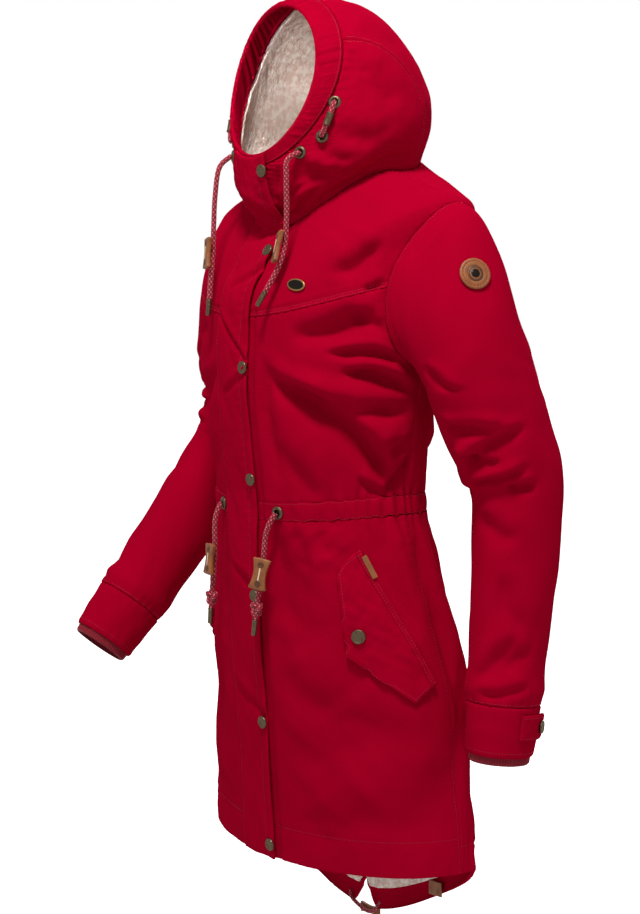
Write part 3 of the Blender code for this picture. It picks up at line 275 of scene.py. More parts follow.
# Hood creases: hood angle in degrees (0 crown, 90 left, 180 collar) and hood level.
HOOD_CREASES = (
    # crease          angle0  level0  angle1  level1    bow  half w    depth   ridge
    ("cheek one",       118,    2.4,    106,    4.8, 0.006,  0.011,  -0.004, 0.0022),
    ("cheek two",       130,    2.3,    120,    5.0, 0.006,  0.009,  -0.005, 0.0026),
    ("cheek three",     143,    2.5,    134,    4.8, 0.004,  0.008, -0.0048, 0.0024),
    ("jaw",             150,    3.2,    116,    6.2, 0.008,  0.012, -0.0056, 0.0028),
    ("throat",          158,    2.0,    166,    5.6, 0.005,  0.009, -0.0056, 0.0026),
    ("throat twist",    150,    4.6,    170,    6.6, 0.004,  0.008,  -0.005, 0.0024),
    ("throat low",      142,    5.6,    158,    7.2, 0.003,  0.007, -0.0036, 0.0018),
    ("nape roll",        70,    6.9,    110,    6.7, 0.003,  0.009, -0.0028, 0.0014),
    ("ear dent",         88,    2.0,     82,    4.2, 0.004,  0.013,  -0.003, 0.0014),
    ("temple",           72,    1.2,     84,    2.4, 0.003,   0.01, -0.0026, 0.0014),
    ("crown dent",       58,    1.6,     50,    3.4, 0.004,  0.012, -0.0022,  0.001),
    ("crown back",       20,    3.4,     44,    5.2, 0.006,  0.015, -0.0026, 0.0012),
    ("back dent",        30,    4.6,     60,    6.2, 0.006,  0.014, -0.0026, 0.0012),
)
HOOD_RADIUS = 0.10
CREASE_GAIN = 1.8
HEM_LABEL_SHIFT = (0.006, -0.0045, -0.004)
HOOD_ROW = 0.026
EYELET_X = 0.054
LOOP_TOP = (math.radians(105), 1.32)       # hood angle and level of the eyelets
LOOP_FOOT = (math.radians(125), 2.12)
CORD_EXIT = (math.radians(140), 1.86)


# ------------------------------------------------------------------ forms
def hermite(start, leave, end, arrive, t):
    """Smooth curve between two values with given slopes, t from 0 to 1."""
    t2, t3 = t * t, t * t * t
    value = start * (2 * t3 - 3 * t2 + 1) + leave * (t3 - 2 * t2 + t)
    return value + end * (3 * t2 - 2 * t3) + arrive * (t3 - t2)


def between_rows(table, level):
    """Values of a table at any level, on a smooth curve through its rows."""
    rows = np.array([row[1:] for row in table], float)
    level = np.clip(np.asarray(level, float), 0, len(rows) - 1)
    low = np.minimum(np.floor(level).astype(int), len(rows) - 2)
    t = (level - low)[..., None]
    start, end = rows[low], rows[low + 1]
    leave = (end - rows[np.maximum(low - 1, 0)]) / 2
    arrive = (rows[np.minimum(low + 2, len(rows) - 1)] - start) / 2
    return np.moveaxis(hermite(start, leave, end, arrive, t), -1, 0)


def stack(x, y, z):
    return np.stack(np.broadcast_arrays(x, y, z), axis=-1)


def unit(v):
    return v / np.linalg.norm(v, axis=-1, keepdims=True)


def wrapped(angle):
    """The same angle between minus and plus half a turn, 0 at the front middle."""
    return (angle + math.pi) % TURN - math.pi


def smooth(t):
    t = np.clip(t, 0, 1)
    return t * t * (3 - 2 * t)


def puckers(run, pitch, bend, rate):
    """Uneven small waves along a seam, -1 to 1."""
    return np.sin(run / pitch * TURN + bend * np.sin(run * rate))


def fold_depth(folds, across, along, scale_across, scale_along):
    """Broad soft folds, deepest in their middle."""
    total = np.zeros(np.broadcast(across, along).shape)
    for _, a0, b0, a1, b1, half, depth in folds:
        start = np.array([math.radians(a0) * scale_across, b0 * scale_along])
        run = np.array([math.radians(a1) * scale_across, b1 * scale_along]) - start
        px = across * scale_across - start[0]
        py = along * scale_along - start[1]
        t = np.clip((px * run[0] + py * run[1]) / (run @ run), 0, 1)
        away = (px - t * run[0]) ** 2 + (py - t * run[1]) ** 2
        total = total + depth * (0.35 + 0.65 * np.sin(math.pi * t)) * np.exp(-away / half ** 2)
    return total


def crease_depth(creases, across, along, scale_across, scale_along, gain=CREASE_GAIN):
    """Soft creases with a steeper trough and a ridge along one side, thinning out at both ends."""
    total = np.zeros(np.broadcast(across, along).shape)
    for _, a0, b0, a1, b1, bow, half, depth, ridge in creases:
        start = np.array([math.radians(a0) * scale_across, b0 * scale_along])
        run = np.array([math.radians(a1) * scale_across, b1 * scale_along]) - start
        length = math.hypot(*run)
        px = across * scale_across - start[0]
        py = along * scale_along - start[1]
        t = (px * run[0] + py * run[1]) / length ** 2
        side = (px * run[1] - py * run[0]) / length - bow * np.sin(math.pi * np.clip(t, 0, 1))
        wander = 0.10 * half * np.sin(9 * t + a0)
        end = smooth(np.minimum(t + 0.12, 1.12 - t) / 0.34)
        width = half * (0.72 + 0.28 * np.sin(math.pi * np.clip(t, 0, 1)))
        trough = np.exp(-np.abs((side - wander) / (width * 0.95)) ** 1.7)
        shoulder = np.exp(-((side - wander + 1.9 * width) / (1.25 * width)) ** 2)
        total = total + (depth * trough + ridge * shoulder) * end
    return total * gain


def ripple(a, b, size, seed=0.0):
    """Smooth uneven waviness, about -1 to 1, over two lengths in metres."""
    k = TURN / size
    value = np.sin(a * k + 1.7 * np.sin(b * k * 0.61 + seed) + seed)
    value = value + 0.7 * np.sin(b * k * 1.13 + 1.3 * np.sin(a * k * 0.83 - seed) + 2.1 * seed)
    value = value + 0.5 * np.sin((a + b) * k * 1.71 + 0.9 * np.sin((a - b) * k * 0.77) + 3.3 * seed)
    return value / 2.2


def tail_share(angle):
    """How much of the fishtail's drop the back hem has at an angle."""
    turned = wrapped(angle)
    start = np.where(turned < 0, TAIL_START_RIGHT, TAIL_START)
    return np.sin(math.pi / 2 * np.clip((np.abs(turned) - start) / (math.pi - start), 0, 1)) ** TAIL_BEND


def tail_reach(level):
    return smooth((np.asarray(level, float) - TAIL_LEVEL) / (HEM_LEVEL - TAIL_LEVEL))


def plain_body(angle, level):
    """Body form without creases: angle 0 at the front middle, positive to the wearer's left."""
    z_front, z_side, z_back, half, middle, front, back, corner = between_rows(BODY, level)
    s, c = np.sin(angle), np.cos(angle)
    square = np.where(c > 0, 2.0, corner)
    reach = (np.abs(s) ** square + np.abs(c) ** square) ** (-1 / square)
    x = half * reach * s
    y = middle - np.where(c > 0, front, back) * reach * c
    share = np.where(c > 0, c * c, c * c + (tail_share(angle) - c * c) * tail_reach(level))
    z = z_side + (np.where(c > 0, z_front, z_back) - z_side) * share
    return stack(x, y, z)


def outward(form, angle, level, step_angle=0.04, step_level=0.12):
    """Outward directions of a form, from nearby points."""
    turn = form(angle + step_angle, level) - form(angle - step_angle, level)
    fall = form(angle, level + step_level) - form(angle, level - step_level)
    return unit(np.cross(fall, turn))


def gather_wave(angle, sharp=1.0):
    """Uneven waist gathers round the body, -1 to 1."""
    phase = angle * GATHERS + 2.2 * np.sin(angle * 5.0) + 1.3 * np.sin(angle * 11.0 + 1.0)
    wave = np.cos(phase)
    size = 0.62 + 0.38 * np.sin(angle * 7.3) * np.sin(angle * 3.1 + 0.5)
    return np.sign(wave) * np.abs(wave) ** sharp * size


def drawn_share(turned):
    """How far the waist cord draws the cloth in at an angle, 0 to 1."""
    return np.clip((np.abs(turned) - GATHERS_START) / GATHERS_FADE, 0, 1)


def body_relief(angle, level):
    """How far the cloth stands out of the plain body."""
    plain = plain_body(angle, level)
    z = plain[..., 2]
    turned = wrapped(angle)
    near = np.where(turned >= 0, 1.0, FAR_SIDE)
    depth = fold_depth(BODY_FOLDS, np.abs(turned), z, FOLD_RADIUS, 1.0) * near
    clear_of_placket = np.clip((np.abs(turned) - 0.26) / 0.25, 0, 1)
    clear_of_hem = np.clip((HEM_LEVEL - level) / 0.4, 0, 1)
    hole = ((np.abs(turned) - SIDE) / 0.5) ** 2 + ((level - YOKE_LEVEL) / 2.2) ** 2
    base = depth * clear_of_placket * clear_of_hem * np.clip((hole - 1.0) * 2, 0, 1)
    shifted = np.abs(turned) + np.where(turned >= 0, 0.0, 0.06)
    fine = crease_depth(BODY_CREASES, shifted, z, FOLD_RADIUS, 1.0)
    fine = fine * np.where(turned >= 0, 1.0, FAR_CREASE)
    fine = fine * smooth((np.abs(turned) - 0.17) / 0.10) * smooth((HEM_LEVEL - level) / 0.3)
    fine = fine * smooth((hole - 0.72) * 3)
    soft = 0.0009 * ripple(turned * FOLD_RADIUS, z * 0.7, 0.085, 1.0)
    soft = soft + 0.00035 * ripple(turned * FOLD_RADIUS, z, 0.031, 2.0)
    above = (BODICE_FOOT - level) * 0.036
    below = (level - WAIST_LEVEL - TUNNEL_DOWN) * 0.058
    reach = 0.75 + 0.5 * np.sin(turned * 13.0) * np.sin(turned * 5.3 + 1)
    fan = np.where(above > 0, np.exp(-above / (0.016 * reach)), 0) * 0.9
    fan = fan + np.where(below > 0, np.exp(-below / (0.022 * reach)), 0)
    pleats = 0.0034 * gather_wave(turned) * fan * drawn_share(turned)
    beside = (plain[..., 0] - PLACKET_LEFT - BESIDE_PLACKET) / 0.0030
    return base + fine + soft + pleats - np.where(turned > 0, 0.0028 * np.exp(-beside ** 2), 0)


def body(angle, level, out=0.0):
    """Points of the creased body, moved out by a distance."""
    angle, level = np.asarray(angle, float), np.asarray(level, float)
    rise = (body_relief(angle, level) + out)[..., None]
    return plain_body(angle, level) + outward(plain_body, angle, level) * rise


def front_angle(x, level):
    return np.arcsin(x / between_rows(BODY, level)[3])


def plain_hood(angle, level):
    """Hood form without creases: angle 0 at the crown, its foot blending into the neck."""
    collar_y, collar_z, crown_y, crown_z, half, lift, back = between_rows(HOOD, level)
    s, c = np.sin(angle), np.cos(angle)
    y = (collar_y + crown_y) / 2 + (crown_y - collar_y) / 2 * c + back * s * s
    z = (collar_z + crown_z) / 2 + (crown_z - collar_z) / 2 * c + lift * s * s
    part = smooth((np.asarray(level, float) - HOOD_JOIN) / (HOOD_FOOT - HOOD_JOIN))[..., None]
    neck = plain_body(math.pi - np.asarray(angle, float), np.zeros(np.shape(part)[:-1]))
    neck = neck + stack(0.0, 0.0, HOOD_RISE * (HOOD_FOOT - np.asarray(level, float)))
    return stack(half * s, y, z) * (1 - part) + neck * part


def hood_out(angle, level):
    return -outward(plain_hood, angle, np.clip(level, 0.12, HOOD_FOOT - 0.12))


def hood_relief(angle, level):
    """How far the cloth stands out of the plain hood."""
    turned = wrapped(angle)
    shifted = np.abs(turned) + np.where(turned >= 0, 0.0, 0.05)
    fine = crease_depth(HOOD_CREASES, shifted, level, HOOD_RADIUS, HOOD_ROW, HOOD_GAIN)
    fine = fine * np.where(turned >= 0, 1.0, FAR_CREASE)
    fine = fine * smooth((level - 1.0) / 0.6)
    soft = 0.0009 * ripple(turned * HOOD_RADIUS, level * HOOD_ROW, 0.075, 4.0)
    return fine + soft + 0.0003 * ripple(turned * HOOD_RADIUS, level * HOOD_ROW, 0.028, 5.0)


def hood(angle, level, out=0.0):
    angle, level = np.broadcast_arrays(np.asarray(angle, float), np.asarray(level, float))
    rise = (np.zeros(angle.shape) + out)[..., None]
    return plain_hood(angle, level) + hood_out(angle, level) * rise


def arm_hole(side, angle, inset):
    """Body angle and level of the arm hole's edge."""
    s, c = np.sin(angle), np.cos(angle)
    wide = np.where(s > 0, ARM_HOLE_FRONT, ARM_HOLE_BACK) - inset / FOLD_RADIUS
    tall = HOLE_HALF - inset / HOLE_ROW
    return side * (SIDE - wide * s), HOLE_MIDDLE - tall * c


def arm_rings(side):
    return SLEEVE_LEFT if side == LEFT else SLEEVE_RIGHT


def arm_frame(side, level):
    """Middle, outward and forward directions, half sizes and run of the arm at a level."""
    table = arm_rings(side)
    x, y, z, across, deep = between_rows(table, level)
    ahead = between_rows(table, level + 0.3)
    behind = between_rows(table, level - 0.3)
    run = unit(stack(ahead[0] - behind[0], ahead[1] - behind[1], ahead[2] - behind[2]))
    out = np.zeros_like(run)
    out[..., 0] = side
    out = unit(out - run * np.sum(out * run, axis=-1, keepdims=True))
    fore = np.cross(run, out) * side
    return stack(x, y, z), out, fore, across, deep, run


def arm_ring(side, angle, level):
    middle, out, fore, across, deep, run = arm_frame(side, level)
    s, c = np.sin(angle)[..., None], np.cos(angle)[..., None]
    return middle + out * c * across[..., None] + fore * s * deep[..., None]


def plain_sleeve(side, angle, level):
    """Sleeve form: a cap from the arm hole to the upper arm, then the arm's rings."""
    angle, level = np.broadcast_arrays(np.asarray(angle, float), np.asarray(level, float))
    hole_angle, hole_level = arm_hole(side, angle, -0.0006)
    start = plain_body(hole_angle, hole_level)
    first = np.zeros_like(level)
    end = arm_ring(side, angle, first)
    away = outward(plain_body, hole_angle, hole_level)
    away = away * np.array([1.0, 0.35, 0.0]) + np.array([side * 0.55, 0.0, -0.10])
    down = arm_frame(side, first)[5]
    t = np.clip(level / CAP_LEVELS, 0, 1)[..., None]
    span = np.linalg.norm(end - start, axis=-1, keepdims=True)
    leave = unit(away) * span * 0.85
    arrive = down * span * 0.80
    cap = hermite(start, leave, end, arrive, t)
    arm = arm_ring(side, angle, np.maximum(level - CAP_LEVELS, 0))
    return np.where((level < CAP_LEVELS)[..., None], cap, arm)


def sleeve_foot(side):
    return CAP_LEVELS + len(arm_rings(side)) - 1


def sleeve_out(side, angle, level):
    def form(a, b):
        return plain_sleeve(side, a, b)
    return outward(form, angle, np.clip(level, 0.12, sleeve_foot(side) - 0.12)) * -side


def sleeve_relief(side, angle, level):
    turned = angle % TURN
    near = 1.0 if side == LEFT else FAR_SIDE
    foot = sleeve_foot(side)
    depth = fold_depth(SLEEVE_FOLDS, turned, level, SLEEVE_RADIUS, SLEEVE_ROW) * near
    ends = np.clip((level - 0.4) / 0.8, 0, 1) * np.clip((foot - level) / 0.3, 0, 1)
    puff = 0.0028 * np.exp(-((level - foot + 0.25) / 0.22) ** 2)
    fine = crease_depth(SLEEVE_CREASES, turned, level, SLEEVE_RADIUS, SLEEVE_ROW)
    fine = fine + crease_depth(SLEEVE_CREASES, turned - TURN, level, SLEEVE_RADIUS, SLEEVE_ROW)
    fine = fine * smooth(level / 0.5) * smooth((foot - level) / 0.12)
    fine = fine * (1.0 if side == LEFT else FAR_CREASE)
    around = np.sin(turned) * SLEEVE_RADIUS, np.cos(turned) * SLEEVE_RADIUS
    soft = ripple(around[0] + around[1] * 0.4, level * SLEEVE_ROW * 0.8 + around[1], 0.070, 6.0 + side)
    return depth * ends + puff * ends + fine + (0.0009 * soft) * smooth(level / 0.4)


# ------------------------------------------------------------------ meshes
def put_mesh(name, points, faces, material, uv=None):
    name = name.replace(" ", "_")
    mesh = bpy.data.meshes.new(name)
    mesh.from_pydata(points.tolist() if isinstance(points, np.ndarray) else points, [], faces)
    if uv is not None:
        layer = mesh.uv_layers.new(name="UVMap")
        loops = np.empty(len(mesh.loops), int)
        mesh.loops.foreach_get("vertex_index", loops)
        layer.data.foreach_set("uv", np.asarray(uv, np.float32)[loops].ravel())
    mesh.polygons.foreach_set("use_smooth", np.ones(len(mesh.polygons), bool))
    thing = bpy.data.objects.new(name, mesh)
    thing.data.materials.append(material)
    bpy.context.scene.collection.objects.link(thing)
    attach(thing, "root")
    return thing


def arc(points, axis):
    """Lengths along a grid's rows (axis 1) or columns (axis 0), from its first edge."""
    step = np.linalg.norm(np.diff(points, axis=axis), axis=-1)
    first = np.zeros_like(np.take(step, [0], axis=axis))
    return np.concatenate([first, np.cumsum(step, axis=axis)], axis=axis)


def grid_faces(rows, columns, closed, flip):
    spans = columns if closed else columns - 1
    r, c = np.meshgrid(np.arange(rows - 1), np.arange(spans), indexing="ij")
    n = (c + 1) % columns
    corners = [r * columns + c, (r + 1) * columns + c, (r + 1) * columns + n, r * columns + n]
    quads = np.stack(corners, -1).reshape(-1, 4)
    return quads[:, ::-1] if flip else quads


def cloth(name, nodes, outer, normals, thickness, material, closed=False, flip=False):
    """Cloth wall whose outer side is a grid of points, with its underside a thickness below."""
    rows, columns = outer.shape[:2]
    inner = outer - normals * thickness
    under = rows * columns
    faces = grid_faces(rows, columns, closed, flip)
    below = grid_faces(rows, columns, closed, not flip) + under
    rim = []
    spans = columns if closed else columns - 1
    for c in range(spans):
        n = (c + 1) % columns
        last = (rows - 1) * columns
        rim.append((c, n, under + n, under + c))
        rim.append((last + n, last + c, under + last + c, under + last + n))
    if not closed:
        for r in range(rows - 1):
            a, d = r * columns, (r + 1) * columns
            rim.append((d, a, under + a, under + d))
            a, d = a + columns - 1, d + columns - 1
            rim.append((a, d, under + d, under + a))
    if flip:
        rim = [face[::-1] for face in rim]
    across, along = arc(outer, 1), arc(outer, 0)
    uv = np.stack([across, along], -1).reshape(-1, 2)
    points = np.concatenate([outer.reshape(-1, 3), inner.reshape(-1, 3)])
    faces = faces.tolist() + below.tolist() + rim
    thing = put_mesh(name, points, faces, material, np.concatenate([uv, uv]))
    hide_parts(*nodes)
    width = float(across[:, -1].max())
    if closed:
        width += float(np.linalg.norm(outer[:, 0] - outer[:, -1], axis=-1).max())
    length = float(along[-1].max())
    quad = outer[:-1, 1:] - outer[:-1, :-1]
    drop = outer[1:, :-1] - outer[:-1, :-1]
    area = float(np.linalg.norm(np.cross(quad, drop), axis=-1).sum())
    area = min(max(area, 0.31 * width * length), width * length)
    return thing


def edge_fall(outer, normals, reach=0.0016, drop=0.0013):
    """Rounds a panel's edges into its seams."""
    across, along = arc(outer, 1), arc(outer, 0)
    fall = np.zeros(outer.shape[:2])
    for away in (along, along[-1:] - along, across, across[:, -1:] - across):
        fall = np.maximum(fall, np.exp(-(away / reach) ** 2))
    return outer - normals * (fall * drop)[..., None]


def turned_in(outer, thickness):
    """Wall thickness that grows inwards at a panel's edges, where its seam allowances lie."""
    along, across = arc(outer, 0), arc(outer, 1)
    near = np.minimum(np.minimum(along, along[-1:] - along),
                      np.minimum(across, across[:, -1:] - across))
    return (thickness + TURNED_IN * np.exp(-near / 0.005))[..., None]


def crowd(count):
    """Fractions 0 to 1, evenly spaced but with a few close together at both ends."""
    count = int(round(count * DENSITY))
    t = np.linspace(0, 1, count)
    h = 1 / (count - 1)
    ends = h * np.array([0.12, 0.3, 0.6])
    return np.unique(np.concatenate([t, ends, 1 - ends]))


# ------------------------------------------------------------------ stitching
STITCHES = {"points": [], "faces": []}
STITCH = 0.0026
STITCH_GAP = 0.0009


def stitch_row(line, normals, lift=0.00012, width=0.00030, height=0.00026):
    """Thread stitches along a line of points on the cloth."""
    length = np.concatenate([[0], np.cumsum(np.linalg.norm(np.diff(line, axis=0), axis=1))])
    starts = np.arange(0.001, length[-1] - STITCH, STITCH + STITCH_GAP)
    if not len(starts):
        return

    def at(marks, values):
        return np.stack([np.interp(marks, length, values[:, i]) for i in range(3)], -1)

    a, b = at(starts, line), at(starts + STITCH, line)
    n = unit(at(starts + STITCH / 2, normals))
    run = unit(b - a)
    side = np.cross(n, run)
    base = len(STITCHES["points"])
    middle = (a + b) / 2 + n * (lift + height)
    corner = [a + n * lift * 0.2, b + n * lift * 0.2, middle, middle + side * width - n * height * 0.7,
              middle - side * width - n * height * 0.7]
    block = np.stack(corner, 1).reshape(-1, 3)
    STITCHES["points"].extend(block.tolist())
    for k in range(len(starts)):
        i = base + 5 * k
        STITCHES["faces"].extend([(i, i + 3, i + 2), (i + 3, i + 1, i + 2),
                                  (i, i + 2, i + 4), (i + 4, i + 2, i + 1)])


# ------------------------------------------------------------------ materials
def new_material(name):
    material = bpy.data.materials.new(name)
    material.use_nodes = True
    tree = material.node_tree
    return material, tree, tree.nodes["Principled BSDF"]


def add_node(tree, kind, **values):
    node = tree.nodes.new(kind)
    for key, value in values.items():
        setattr(node, key, value)
    return node


def math_node(tree, operation, a, b=None):
    node = add_node(tree, "ShaderNodeMath", operation=operation)
    for socket, value in zip(node.inputs, (a, b)):
        if value is None:
            continue
        if isinstance(value, (int, float)):
            socket.default_value = value
        else:
            tree.links.new(value, socket)
    return node.outputs[0]


def mix_colour(tree, factor, a, b, blend="MIX"):
    node = add_node(tree, "ShaderNodeMix", data_type="RGBA", blend_type=blend)
    for socket, value in ((node.inputs[0], factor), (node.inputs[6], a), (node.inputs[7], b)):
        if isinstance(value, tuple):
            socket.default_value = (*value, 1.0)
        elif isinstance(value, (int, float)):
            socket.default_value = value
        else:
            tree.links.new(value, socket)
    return node.outputs[2]


def noise(tree, scale, detail=2.0):
    node = add_node(tree, "ShaderNodeTexNoise")
    node.inputs["Scale"].default_value = scale
    node.inputs["Detail"].default_value = detail
    tree.links.new(add_node(tree, "ShaderNodeTexCoord").outputs["Object"], node.inputs["Vector"])
    return node.outputs["Fac"]


def spread(tree, value, low, high, to_low, to_high):
    """Value moved from one range to another, kept inside it."""
    node = add_node(tree, "ShaderNodeMapRange")
    for i, v in zip((1, 2, 3, 4), (low, high, to_low, to_high)):
        node.inputs[i].default_value = v
    tree.links.new(value, node.inputs[0])
    return node.outputs[0]


def bump(tree, shader, height, distance, strength=1.0, under=None):
    node = add_node(tree, "ShaderNodeBump")
    node.inputs["Distance"].default_value = distance
    node.inputs["Strength"].default_value = strength
    tree.links.new(height, node.inputs["Height"])
    if under is not None:
        tree.links.new(under, node.inputs["Normal"])
    if shader is not None:
        tree.links.new(node.outputs[0], shader.inputs["Normal"])
    return node.outputs[0]


def weave(tree, pitch):
    """Height of a plain weave in the piece's own UV, which is in metres."""
    coordinates = add_node(tree, "ShaderNodeUVMap", uv_map="UVMap").outputs[0]
    split = add_node(tree, "ShaderNodeSeparateXYZ")
    tree.links.new(coordinates, split.inputs[0])
    threads = []
    for way in (0, 1):
        wave = math_node(tree, "SINE", math_node(tree, "MULTIPLY", split.outputs[way], TURN / pitch))
        threads.append(math_node(tree, "MULTIPLY", wave, 0.5))
    return math_node(tree, "ADD", *threads)


def cloth_material(name, base, deep, pitch=0.0009, sheen=0.04, rough=0.78):
    material, tree, shader = new_material(name)
    broad = spread(tree, noise(tree, 9.0, 3.0), 0.35, 0.68, 0.0, 1.0)
    fine = spread(tree, noise(tree, 900.0, 2.0), 0.3, 0.7, 0.0, 1.0)
    colour = mix_colour(tree, math_node(tree, "MULTIPLY", broad, 0.35), base, deep)
    colour = mix_colour(tree, math_node(tree, "MULTIPLY", fine, 0.16), colour, deep)
    tree.links.new(colour, shader.inputs["Base Color"])
    tree.links.new(spread(tree, broad, 0, 1, rough - 0.04, rough + 0.05), shader.inputs["Roughness"])
    shader.inputs["Specular IOR Level"].default_value = 0.0
    shader.inputs["Sheen Weight"].default_value = sheen
    shader.inputs["Sheen Roughness"].default_value = 0.45
    shader.inputs["Sheen Tint"].default_value = (1.0, 0.05, 0.14, 1.0)
    threads = bump(tree, None, weave(tree, pitch), 0.00006, 0.6)
    bump(tree, shader, noise(tree, 420.0, 3.0), 0.00012, 0.5, threads)
    return material


def rib_material(name, base, deep):
    material, tree, shader = new_material(name)
    fine = noise(tree, 700.0, 2.0)
    colour = mix_colour(tree, spread(tree, fine, 0.3, 0.7, 0, 0.6), base, deep)
    tree.links.new(colour, shader.inputs["Base Color"])
    shader.inputs["Roughness"].default_value = 0.9
    shader.inputs["Sheen Weight"].default_value = 0.1
    bump(tree, shader, fine, 0.0002, 0.7)
    return material


def fleece_material(name):
    material, tree, shader = new_material(name)
    curls = add_node(tree, "ShaderNodeTexVoronoi", feature="F1")
    curls.inputs["Scale"].default_value = 330.0
    tree.links.new(add_node(tree, "ShaderNodeTexCoord").outputs["Object"], curls.inputs["Vector"])
    clump = noise(tree, 150.0, 4.0)
    # Partly the fleece's own uneven tone, partly painted shade: darker where the clump noise, which also
    # raises the lumps, is low.
    clump_tone_and_painted_shade = spread(tree, clump, 0.40, 0.60, 0.0, 1.0)
    colour = mix_colour(tree, clump_tone_and_painted_shade, (0.80, 0.60, 0.50), (1.0, 0.88, 0.79))
    tree.links.new(colour, shader.inputs["Base Color"])
    shader.inputs["Roughness"].default_value = 1.0
    shader.inputs["Sheen Weight"].default_value = 0.2
    shader.inputs["Sheen Roughness"].default_value = 0.6
    shader.inputs["Specular IOR Level"].default_value = 0.1
    lumps = bump(tree, None, clump, 0.0014, 1.0)
    bump(tree, shader, math_node(tree, "MULTIPLY", curls.outputs["Distance"], -1.0), 0.0010, 0.8, lumps)
    return material


def mottled_material(name, light, dark, scale, share, rough, relief, metallic=0.0):
    """Leather or worn metal: blotches of two colours and two roughnesses, and a fine grain."""
    material, tree, shader = new_material(name)
    blotch = spread(tree, noise(tree, scale, 4.0), *share, 0, 1)
    tree.links.new(mix_colour(tree, blotch, light, dark), shader.inputs["Base Color"])
    tree.links.new(spread(tree, blotch, 0, 1, *rough), shader.inputs["Roughness"])
    shader.inputs["Metallic"].default_value = metallic
    grain, detail, distance, strength = relief
    bump(tree, shader, noise(tree, grain, detail), distance, strength)
    return material


def cord_material(name):
    """Braid: two sets of strands crossing, darker where the strands dip (painted shade), with pale flecks
    where marked strands come up.
    """
    material, tree, shader = new_material(name)
    split = add_node(tree, "ShaderNodeSeparateXYZ")
    tree.links.new(add_node(tree, "ShaderNodeUVMap", uv_map="UVMap").outputs[0], split.inputs[0])
    around = math_node(tree, "MULTIPLY", split.outputs[0], TURN * CORD_STRANDS)
    run = math_node(tree, "MULTIPLY", split.outputs[1], TURN * CORD_PITCH)
    one = math_node(tree, "SINE", math_node(tree, "ADD", around, run))
    two = math_node(tree, "SINE", math_node(tree, "SUBTRACT", around, run))
    top = math_node(tree, "MAXIMUM", one, two)
    fleck = math_node(tree, "MULTIPLY", math_node(tree, "GREATER_THAN", one, 0.84),
                      math_node(tree, "GREATER_THAN", two, 0.55))
    # Painted shade: the red darkens where the strands' height is low, in the grooves between them.
    strand_colour_with_painted_groove_shade = mix_colour(tree, spread(tree, top, -0.2, 1.0, 0, 1),
                             (0.10, 0.001, 0.006), (0.42, 0.004, 0.026))
    colour = mix_colour(tree, math_node(tree, "MULTIPLY", fleck, 0.9), strand_colour_with_painted_groove_shade, (0.80, 0.42, 0.44))
    tree.links.new(colour, shader.inputs["Base Color"])
    shader.inputs["Roughness"].default_value = 0.8
    shader.inputs["Sheen Weight"].default_value = 0.15
    bump(tree, shader, noise(tree, 2500.0, 2.0), 0.0001, 0.5)
    return material


def thread_material(name, colour, rough):
    material, _, shader = new_material(name)
    shader.inputs["Base Color"].default_value = (*colour, 1)
    shader.inputs["Roughness"].default_value = rough
    return material


RED = (0.375, 0.0002, 0.0180)
RED_DEEP = (0.285, 0.0001, 0.0125)
shell_cloth = cloth_material("shell cloth", RED, RED_DEEP)
facing_cloth = cloth_material("facing cloth", (0.36, 0.0003, 0.017), RED_DEEP, sheen=0.03)
rib_knit = rib_material("rib knit", (0.26, 0.002, 0.014), (0.15, 0.001, 0.008))
fleece = fleece_material("fleece")
LEATHER = {"scale": 120.0, "share": (0.3, 0.7), "rough": (0.42, 0.6), "relief": (1800.0, 3.0, 0.00008, 0.6)}
METAL = {"scale": 1500.0, "share": (0.36, 0.66), "rough": (0.30, 0.55), "relief": (2600.0, 2.0, 0.00005, 0.5),
         "metallic": 0.9}
leather = mottled_material("leather", (0.33, 0.105, 0.024), (0.20, 0.060, 0.014), **LEATHER)
# Darker leather for the sleeve badge's sunk ring, also used as painted shade in the toggle holes.
dark_leather_and_hole_shade = mottled_material("leather edge", (0.14, 0.042, 0.012), (0.07, 0.020, 0.007), **LEATHER)
brass = mottled_material("aged brass", (0.22, 0.155, 0.09), (0.08, 0.055, 0.032), **METAL)
# Dark metal for the badge boss and inlaid field, also used as painted shade in the eyelet holes.
dark_metal_and_hole_shade = mottled_material("dark inlay and hole shade", (0.035, 0.028, 0.024), (0.012, 0.010, 0.009), **METAL)
gilt = mottled_material("gilt rim", (0.52, 0.32, 0.12), (0.30, 0.17, 0.06), **METAL)
thread = thread_material("thread", (0.36, 0.004, 0.020), 0.6)
pale_thread = thread_material("pale thread", (0.72, 0.55, 0.38), 0.7)
braid = cord_material("braided cord")


